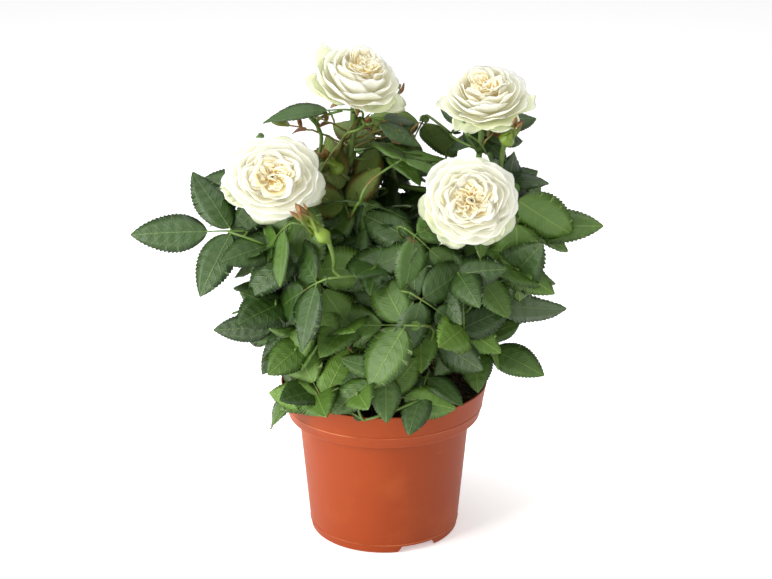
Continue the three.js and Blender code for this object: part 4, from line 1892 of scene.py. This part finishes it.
@dataclass
class NurseryPot:
    """The thin moulded pot, with its stepped rim band, moulding lines and notched foot ring."""

    node: str = "pot"
    band_share: float = 0.7746
    wall: float = 1.1 * MM
    segments: int = 256
    ridge_height: float = 0.22 * MM
    ridge_share: float = 0.33
    foot_height: float = 4.4 * MM
    foot_width: float = 2.4 * MM
    notch_azimuth: float = 27.0
    notch_half_width: float = 10 * MM
    notch_slant: float = 3 * MM

    def build(self, material: Material) -> None:
        """Build the pot.

        Args:
            material: Its plastic.
        """
        solid = Solid(self.node)
        height = float(solid.high[2])
        band = height * self.band_share
        rim = float(solid.high[0])
        ring = np.hypot(solid.points[:, 0], solid.points[:, 1])
        foot = float(ring[solid.points[:, 2] < 3 * MM].max())
        store = MeshStore()
        add_lathe(store, self._profile(height, band, rim, foot), self.segments)
        piece = store.build("pot_shell")
        for i in range(3):
            self._cut_notch(piece, foot, math.radians(self.notch_azimuth + 120 * i))
        piece.data.shade_smooth()
        piece.data.set_sharp_from_angle(angle=math.radians(38))
        settle(piece, material, [self.node])

    def _profile(self, height: float, band: float, rim: float, foot: float) -> Array:
        """The wall's outline, from the underside's middle round to the floor's.

        Args:
            height: The pot's height.
            band: The height of the rim band's lower edge.
            rim: The rim's outer radius.
            foot: The foot's outer radius.

        Returns:
            Rows of radius and height.
        """
        body_top = foot + 6.4 * MM
        band_foot = rim - 3.8 * MM
        floor = self.foot_height + 1.5 * MM

        def on_body(z: float) -> float:
            """The body's outer radius at a height."""
            return foot + (body_top - foot) * z / band

        def on_band(z: float) -> float:
            """The rim band's outer radius at a height."""
            return band_foot + (rim - band_foot) * (z - band) / (height - band)

        def round_to(r: float, z: float, size: float, start: float, end: float) -> list[list[float]]:
            """Points on a rounded edge of a given centre and radius, between two angles."""
            turns = np.radians(np.linspace(start, end, 7))
            return [[r + size * math.cos(a), z + size * math.sin(a)] for a in turns]

        edge, lip = 2.0 * MM, 0.5 * MM
        part = self.foot_height + 0.9 * MM
        ridge = band + (height - band) * self.ridge_share
        points = [[0, 0], [7.6 * MM, 0], [8 * MM, 0.4 * MM], [8 * MM, self.foot_height - 0.3 * MM]]
        points += [[8.4 * MM, self.foot_height], [foot - self.foot_width - 0.5 * MM, self.foot_height]]
        points += [[foot - self.foot_width, self.foot_height - 0.5 * MM], [foot - self.foot_width, 0.2 * MM]]
        points += [[foot - self.foot_width + 0.2 * MM, 0]]
        points += round_to(foot - edge, edge, edge, -90, 0)
        points += [[on_body(part) - 0.05 * MM, part - 0.25 * MM], [on_body(part) + 0.22 * MM, part]]
        points += [[on_body(part) + 0.22 * MM, part + 0.2 * MM], [on_body(part), part + 0.45 * MM]]
        points += [[on_body(z), z] for z in np.linspace(part + 2 * MM, band - 1.5 * MM, 18)]
        points += [[on_body(band) + 0.15 * MM, band - 0.4 * MM], [on_body(band) + 0.6 * MM, band]]
        points += round_to(band_foot - edge, band + edge, edge, -90, -4)
        points += [[on_band(ridge) - 0.02 * MM, ridge - 0.5 * MM]]
        points += [[on_band(ridge) + self.ridge_height, ridge - 0.15 * MM]]
        points += [[on_band(ridge) + self.ridge_height, ridge + 0.15 * MM]]
        points += [[on_band(ridge), ridge + 0.6 * MM]]
        points += [[on_band(z), z] for z in np.linspace(ridge + 2 * MM, height - 1.2 * MM, 6)]
        points += round_to(rim - lip, height - lip, lip, 0, 90)
        points += round_to(rim - self.wall + lip, height - lip, lip, 90, 180)
        inner = band + self.wall
        points += [[on_band(inner + 1 * MM) - self.wall, inner + 1 * MM]]
        points += [[on_band(inner) - self.wall - 1 * MM, inner], [on_body(band) - self.wall, inner]]
        points += [[on_body(band) - self.wall, band - 1 * MM]]
        points += [[on_body(floor) - self.wall, floor + 1 * MM], [on_body(floor) - self.wall - 1 * MM, floor]]
        points += [[0, floor]]
        return np.array(points)

    def _cut_notch(self, piece: bpy.types.Object, foot: float, azimuth: float) -> None:
        """Cut one drain notch through the foot ring.

        Args:
            piece: The pot.
            foot: The foot's outer radius.
            azimuth: Where the notch is, in radians from the front.
        """
        top = self.foot_height - 0.25 * MM
        wide, narrow = self.notch_half_width + self.notch_slant, self.notch_half_width
        section = [(-wide, -1 * MM), (wide, -1 * MM), (narrow, top), (-narrow, top)]
        out = np.array([math.sin(azimuth), -math.cos(azimuth), 0.0])
        side = np.array([math.cos(azimuth), math.sin(azimuth), 0.0])
        rows = [foot - 12 * MM, foot + 8 * MM]
        points = np.array([out * r + side * x + UP * z for r in rows for x, z in section])
        quads = np.array([[0, 1, 5, 4], [1, 2, 6, 5], [2, 3, 7, 6], [3, 0, 4, 7], [3, 2, 1, 0], [4, 5, 6, 7]])
        store = MeshStore()
        store.add(points, quads)
        cutter = store.build("notch_cutter")
        modifier = piece.modifiers.new("notch", "BOOLEAN")
        modifier.operation = "DIFFERENCE"
        modifier.solver = "EXACT"
        modifier.object = cutter
        made = bpy.data.meshes.new_from_object(piece.evaluated_get(bpy.context.evaluated_depsgraph_get()))
        piece.modifiers.clear()
        piece.data = made
        bpy.data.objects.remove(cutter)


@dataclass
class PeatBed:
    """The peat in the pot: a lumpy surface strewn with crumbs and fibres."""

    node: str = "soil"
    rings: int = 46
    segments: int = 150
    crumbs: int = 900
    fibres: int = 150
    chips: int = 110
    seed: int = 5

    def build(self, bed: Material, fibre: Material) -> None:
        """Build the bed, its crumbs and its fibres.

        Args:
            bed: The peat's material.
            fibre: The fibres' material.
        """
        solid = Solid(self.node)
        self.top = float(solid.high[2]) - 1.0 * MM
        self.radius = float(solid.high[0]) - 0.3 * MM
        self.floor = float(solid.low[2])
        rng = np.random.default_rng(self.seed)
        settle(self._bed().build("peat_bed"), bed, [self.node])
        settle(self._crumbs(rng, self.crumbs, 1.9 * MM).build("peat_crumbs"), bed)
        settle(self._crumbs(rng, self.chips, 3.2 * MM).build("bark_chips"), fibre)
        settle(self._fibres(rng).build("peat_fibres"), fibre)

    def height_at(self, x: float, y: float) -> float:
        """The peat's height at a place: domed, with lumps of several sizes.

        Args:
            x: The place across.
            y: The place in depth.

        Returns:
            The height above the floor.
        """
        out = math.hypot(x, y) / self.radius
        lumps = noise.fractal(Vector((x, y, 0.3)) * 95, 0.9, 2.1, 4) * 1.3 * MM
        broad = noise.noise(Vector((x, y, 1.7)) * 30) * 1.6 * MM
        return self.top + (1.2 * (1 - out**2) - 1.6) * MM + lumps + broad

    def _bed(self) -> MeshStore:
        """The bed as a closed body.

        Returns:
            Its lumpy top, its side and its flat underside.
        """
        store = MeshStore()
        foot = self.radius * 0.74
        rows = [[0, 0]]
        rows += [[self.radius * (i + 1) / self.rings, 0] for i in range(self.rings)]
        rows += [[self.radius * 0.975, -8 * MM], [self.radius * 0.86, -14 * MM]]
        rows += [[foot, self.floor - self.top], [0, self.floor - self.top]]
        profile = np.array(rows)
        profile[:, 1] += self.top
        add_lathe(store, profile[::-1], self.segments)
        points = store.points[0]
        level = np.abs(points[:, 2] - self.top) < 1e-6
        points[level, 2] = [self.height_at(x, y) for x, y, _ in points[level]]
        return store

    def _crumbs(self, rng: Rng, count: int, largest: float) -> MeshStore:
        """Loose crumbs of peat, or chips of bark.

        Args:
            rng: The source of their places.
            count: How many.
            largest: The longest crumb's half length.

        Returns:
            Them all.
        """
        store = MeshStore()
        corner = (1 + math.sqrt(5)) / 2
        card = np.array([(x, y * corner, 0) for y in (1, -1) for x in (-1, 1)])
        ball = np.concatenate([np.roll(card, turn, axis=1) for turn in range(3)])
        ball = ball / np.linalg.norm(ball[0])
        faces = np.array(
            [(0, 11, 5), (0, 5, 1), (0, 1, 7), (0, 7, 10), (0, 10, 11), (1, 5, 9), (5, 11, 4)]
            + [(11, 10, 2), (10, 7, 6), (7, 1, 8), (3, 9, 4), (3, 4, 2), (3, 2, 6), (3, 6, 8)]
            + [(3, 8, 9), (4, 9, 5), (2, 4, 11), (6, 2, 10), (8, 6, 7), (9, 8, 1)]
        )
        for _ in range(count):
            x, y = self._spot(rng)
            size = rng.uniform(0.27, 1.0) * largest * rng.uniform(0.4, 1.0, 3)
            lump = ball * size * rng.uniform(0.75, 1.25, (12, 1))
            store.add(lump + [x, y, self.height_at(x, y) + size[2] * 0.3], faces)
        return store

    def _fibres(self, rng: Rng) -> MeshStore:
        """Thin roots and fibres that lie on the peat.

        Args:
            rng: The source of their places and bends.

        Returns:
            Them all.
        """
        store = MeshStore()
        for _ in range(self.fibres):
            x, y = self._spot(rng)
            turn = rng.uniform(0, 2 * math.pi)
            line = []
            for _ in range(6):
                line.append([x, y, self.height_at(x, y) + rng.uniform(0.1, 0.7) * MM])
                turn += rng.normal(0, 0.5)
                x += math.cos(turn) * 1.6 * MM
                y += math.sin(turn) * 1.6 * MM
                pull = min(1.0, self.radius * 0.95 / max(math.hypot(x, y), 1e-9))
                x, y = x * pull, y * pull
            add_tube(store, np.array(line), np.full(6, rng.uniform(0.10, 0.28) * MM), 5)
        return store

    def _spot(self, rng: Rng) -> tuple[float, float]:
        """A random place on the bed.

        Args:
            rng: Where it is drawn from.

        Returns:
            Its place across and in depth.
        """
        turn = rng.uniform(0, 2 * math.pi)
        out = self.radius * 0.94 * math.sqrt(rng.uniform(0, 1))
        return out * math.cos(turn), out * math.sin(turn)


# ---- studio


@dataclass
class Studio:
    """A plain pale floor, soft light from the upper left, and the camera."""

    eye: tuple[float, float, float] = (1.1 * MM, -927.7 * MM, 466.3 * MM)
    target_height: float = 146.5 * MM
    lens: float = 79.8
    sensor: float = 36.0

    def build(self) -> None:
        """Build the floor, the lights and the camera."""
        self._floor()
        self._light("key", (-0.95, -0.6, 0.6), 0.7, 16.0, (1.0, 0.99, 0.97))
        self._light("card", (-0.9, -0.7, 0.1), 0.5, 5.5, (1.0, 0.98, 0.94))
        self._light("fill", (0.95, -0.9, 0.6), 1.1, 2.6, (1.0, 0.98, 0.93))
        self._light("top", (-0.1, 0.15, 1.2), 1.0, 8.0, (0.97, 0.99, 1.0))
        world = bpy.data.worlds.new("studio")
        bpy.context.scene.world = world
        world.use_nodes = True
        sky = world.node_tree.nodes["Background"]
        sky.inputs["Color"].default_value = (1.0, 1.0, 1.0, 1.0)
        sky.inputs["Strength"].default_value = 0.5
        self._camera()
        view = bpy.context.scene.view_settings
        view.view_transform = "Standard"
        view.look = "None"
        log.info("studio: floor, four lights and the camera are set")

    def _floor(self) -> None:
        """A wide floor at the level that the pot stands on."""
        store = MeshStore()
        size = 6.0
        corners = [(-size, -size, 0), (size, -size, 0), (size, size, 0), (-size, size, 0)]
        store.add(np.array(corners, dtype=float), np.array([[0, 1, 2, 3]]))
        floor = store.build("floor")
        floor.data.materials.append(FloorFinish().build())

    @staticmethod
    def _light(name: str, place: Sequence[float], size: float, power: float, colour: Colour) -> None:
        """A square soft light that looks at the middle of the bush.

        Args:
            name: Its name.
            place: Where it stands.
            size: Its side.
            power: Its power in watts.
            colour: Its colour.
        """
        lamp = bpy.data.lights.new(name, "AREA")
        lamp.size = size
        lamp.energy = power
        lamp.color = colour
        holder = bpy.data.objects.new(name, lamp)
        bpy.context.scene.collection.objects.link(holder)
        Studio._aim(holder, place, (0.0, 0.0, 0.15))

    def _camera(self) -> None:
        """The camera, a little above the bush and in front of it."""
        data = bpy.data.cameras.new("camera")
        data.lens = self.lens
        data.sensor_width = self.sensor
        data.clip_start = 0.01
        camera = bpy.data.objects.new("camera", data)
        bpy.context.scene.collection.objects.link(camera)
        self._aim(camera, self.eye, (self.eye[0], 0.0, self.target_height))
        bpy.context.scene.camera = camera

    @staticmethod
    def _aim(holder: bpy.types.Object, place: Sequence[float], target: Sequence[float]) -> None:
        """Stand a light or camera at a place and turn it to a target."""
        holder.location = place
        holder.rotation_euler = (Vector(target) - Vector(place)).to_track_quat("-Z", "Y").to_euler()


# ---- the whole bush


LEAF_FINISHES = (
    LeafFinish(
        Tint.DEEP, top=srgb(39, 64, 18), light=srgb(54, 83, 27), rib=srgb(108, 132, 66),
        under=srgb(92, 114, 72), edge=srgb(30, 50, 22), roughness=0.33, gloss=0.48,
    ),
    LeafFinish(
        Tint.MIDDLE, top=srgb(56, 87, 22), light=srgb(76, 107, 32), rib=srgb(130, 156, 72),
        under=srgb(108, 130, 78), edge=srgb(46, 74, 26), roughness=0.35, gloss=0.5,
    ),
    LeafFinish(
        Tint.FRESH, top=srgb(75, 108, 30), light=srgb(95, 129, 42), rib=srgb(142, 166, 78),
        under=srgb(124, 148, 80), edge=srgb(68, 100, 32), roughness=0.37, gloss=0.5,
    ),
    LeafFinish(
        Tint.YOUNG, top=srgb(84, 112, 40), light=srgb(104, 130, 48), rib=srgb(156, 150, 76),
        under=srgb(130, 126, 70), edge=srgb(126, 62, 40), roughness=0.4, gloss=0.4, edge_start=0.45,
    ),
    LeafFinish(
        Tint.RED, top=srgb(112, 70, 36), light=srgb(128, 96, 46), rib=srgb(146, 128, 66),
        under=srgb(130, 84, 50), edge=srgb(110, 46, 32), roughness=0.4, gloss=0.4,
    ),
)

BARKS = (
    ShootFinish("cane_bark", srgb(104, 122, 52), srgb(104, 84, 50), srgb(120, 66, 44), 0.35, 0.55),
    ShootFinish("green_bark", srgb(84, 112, 40), srgb(78, 90, 40), srgb(118, 78, 44), 0.05, 0.45),
    ShootFinish("red_bark", srgb(118, 112, 48), srgb(112, 66, 38), srgb(144, 70, 40), 0.1, 0.45),
)

DARK_MIX = (Tint.DEEP, Tint.MIDDLE, Tint.DEEP, Tint.MIDDLE, Tint.DEEP)
LIGHT_MIX = (Tint.MIDDLE, Tint.FRESH, Tint.MIDDLE, Tint.DEEP, Tint.MIDDLE)

SPRAYS = (
    SprayPlan("left_tip", 1, 49 * MM, 2, (Tint.DEEP,), slim=0.86),
    SprayPlan("left_upper", 3, 38 * MM, 1, DARK_MIX, -0.15),
    SprayPlan("left_shoulder", 5, 42 * MM, 2),
    SprayPlan("left_low", 3, 42 * MM, 1, DARK_MIX, -0.05),
    SprayPlan("left_thin", 1, 40 * MM, 1, DARK_MIX, slim=0.7),
    SprayPlan("top_left", 1, 42 * MM, 1, (Tint.DEEP,), slim=0.72),
    SprayPlan("top_centre", 1, 30 * MM, 1, (Tint.DEEP,), slim=0.8),
    SprayPlan("top_right", 4, 38 * MM, 1, DARK_MIX, 0.1),
    SprayPlan("upper_left", 3, 35 * MM, 1, (Tint.YOUNG, Tint.FRESH, Tint.YOUNG)),
    SprayPlan("upper_right", 3, 35 * MM, 1, LIGHT_MIX),
    SprayPlan("right_tip", 2, 50 * MM, 1, (Tint.MIDDLE, Tint.DEEP), 0.1, slim=0.75),
    SprayPlan("right_upper", 4, 44 * MM, 1, (Tint.MIDDLE, Tint.DEEP), 0.15),
    SprayPlan("right_shoulder", 4, 45 * MM, 1, LIGHT_MIX, -0.1),
    SprayPlan("right_low", 1, 38 * MM, 2, (Tint.MIDDLE,)),
    SprayPlan("right_front", 4, 40 * MM, 2, LIGHT_MIX),
    SprayPlan("front_right", 4, 37 * MM, 1, LIGHT_MIX),
    SprayPlan("front", 4, 44 * MM, 2, LIGHT_MIX),
    SprayPlan("front_left", 3, 35 * MM, 1),
    SprayPlan("front_low", 2, 37 * MM, 1, LIGHT_MIX),
    SprayPlan("front_upper", 4, 42 * MM, 1, DARK_MIX),
    SprayPlan("skirt_left", 4, 42 * MM, 1, (Tint.DEEP, Tint.MIDDLE)),
    SprayPlan("skirt_front", 2, 33 * MM, 1, LIGHT_MIX),
    SprayPlan("skirt_right", 2, 30 * MM, 1, LIGHT_MIX, -0.6),
    SprayPlan("crown", 6, 40 * MM, 1, DARK_MIX),
    SprayPlan("inner_left", 4, 37 * MM, 1, DARK_MIX),
    SprayPlan("heart", 6, 40 * MM, 1, DARK_MIX),
    SprayPlan("heart_low", 5, 35 * MM, 1, DARK_MIX),
    SprayPlan("back_left", 7, 40 * MM, 2, lift=0.05),
    SprayPlan("back", 7, 42 * MM, 2),
    SprayPlan("back_right", 7, 40 * MM, 2, lift=0.05),
    *(SprayPlan(f"{mass}_upper", 6, 42 * MM, 2) for mass in ("back_left", "back", "back_right")),
    *(SprayPlan(f"{mass}_top", 4, 40 * MM, 1) for mass in ("back_left", "back")),
    SprayPlan("back_tip", 1, 44 * MM, 2, (Tint.DEEP,)),
)

BLOOMS = (
    Bloom(
        "bloom_top", 32, 56, 11, 0.5, 0.9, 1.0, 30, 3, 6, 1.0, (1.6 * MM, 0.0),
        guards=((195, 1.22, 0.2), (-15, 1.2, 0.2), (150, 1.15, -0.25)),
    ),
    Bloom(
        "bloom_right", -8, 60, 12, 0.44, 0.9, 0.5, 30, 3, 6, 0.97, (0.0, 2.5 * MM),
        guards=((-60, 1.08, 0.3), (-125, 1.08, 0.3), (-10, 1.14, 0.1), (185, 1.1, 0.1)),
    ),
    Bloom(
        "bloom_left", 1, 18, 13, 0.4, 0.82, 0.0, 34, 4, 6, 1.06, (-1 * MM, 1.5 * MM),
        guards=((-100, 1.12, 0.35), (-28, 1.06, 0.2), (200, 1.05, 0.2)),
    ),
    Bloom(
        "bloom_front", 0, 19, 14, 0.4, 0.92, 0.1, 34, 5, 6, 1.05, (2.2 * MM, 1 * MM),
        guards=((-115, 1.1, 0.25), (190, 1.06, 0.2), (-60, 1.04, 0.25)),
    ),
)

SHOOTS = (
    ShootPlan("stalk_top", 0.35, -95, 18, 42 * MM, 5),
    ShootPlan("stalk_top", 0.5, -60, 30, 24 * MM, 4),
    ShootPlan("stalk_top", 0.55, 60, 30, 14 * MM, 4),
    ShootPlan("stalk_top", 0.35, 75, 14, 38 * MM, 5),
    ShootPlan("stalk_top", 0.4, 60, 24, 28 * MM, 4),
    ShootPlan("stalk_right", 0.6, 60, 50, 16 * MM, 3),
    ShootPlan("stalk_front", 0.3, -30, -20, 22 * MM, 3),
    ShootPlan("stalk_left", 0.4, 60, 20, 24 * MM, 4),
    ShootPlan("bough_top", 0.9, 170, 50, 26 * MM, 4),
)

CANES = ("left", "front", "right", "centre", "back_left", "back", "back_right")
GREEN_LIMBS = ("bough_top_left", "bough_top", "bough_top_right")
STALKS = ("stalk_left", "stalk_front", "stalk_right", "stalk_top")
BUDS = (
    Bud("bud_upper", 30, 20 * MM, 1.05, (-1 * MM, -4 * MM, 3 * MM)),
    Bud("bud_left", 31, 25 * MM, 0.9, (-2 * MM, 0.0, 9 * MM), 8 * MM),
    Bud("bud_right", 32, 18 * MM, 0.78, (2.5 * MM, -6 * MM, 6 * MM)),
)


def build_bush() -> None:
    """Build the plant: limbs first, then what grows on them."""
    rng = np.random.default_rng(SEED + 1)
    cane_bark, green_bark, red_bark = (finish.build() for finish in BARKS)
    petal, bud_green = PetalFinish().build(), BudFinish().build()
    keep_out = KeepOut(Solid("pot"), Solid("soil"))
    for bloom in BLOOMS:
        bloom.measure()
        keep_out.add_bloom(bloom.centre, bloom.facing, bloom.radius * 0.95, bloom.radius * 0.6)
    crown = Crown(SPRAYS, keep_out)
    for name in CANES:
        Limb(f"cane_{name}", cane_bark, "cane_bark", prickles=7, buried=4 * MM).build(crown, rng)
    for name in GREEN_LIMBS:
        Limb(name, green_bark, "green_bark", prickles=1).build(crown, rng)
    for name in STALKS:
        Limb(name, green_bark, "green_bark", prickles=1, bearing=0.55).build(crown, rng)
    crown.grow()
    for bloom in BLOOMS:
        bloom.build(petal, bud_green)
    for bud in BUDS:
        bud.build(crown, bud_green)
    for shoot in SHOOTS:
        crown.sprout(shoot)
    crown.build({finish.tint: finish.build() for finish in LEAF_FINISHES}, green_bark, red_bark)


def main() -> None:
    """Build the bush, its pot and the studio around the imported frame."""
    logging.basicConfig(level=logging.INFO, format="%(name)s: %(message)s")
    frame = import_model()
    Solid.nodes = frame["nodes"]
    NurseryPot().build(PotFinish().build())
    fibre = PeatFinish("peat_fibre", srgb(84, 58, 36), srgb(132, 96, 60), srgb(170, 132, 88)).build()
    PeatBed().build(PeatFinish().build(), fibre)
    build_bush()
    Studio().build()


if __name__ == "__main__":
    main()
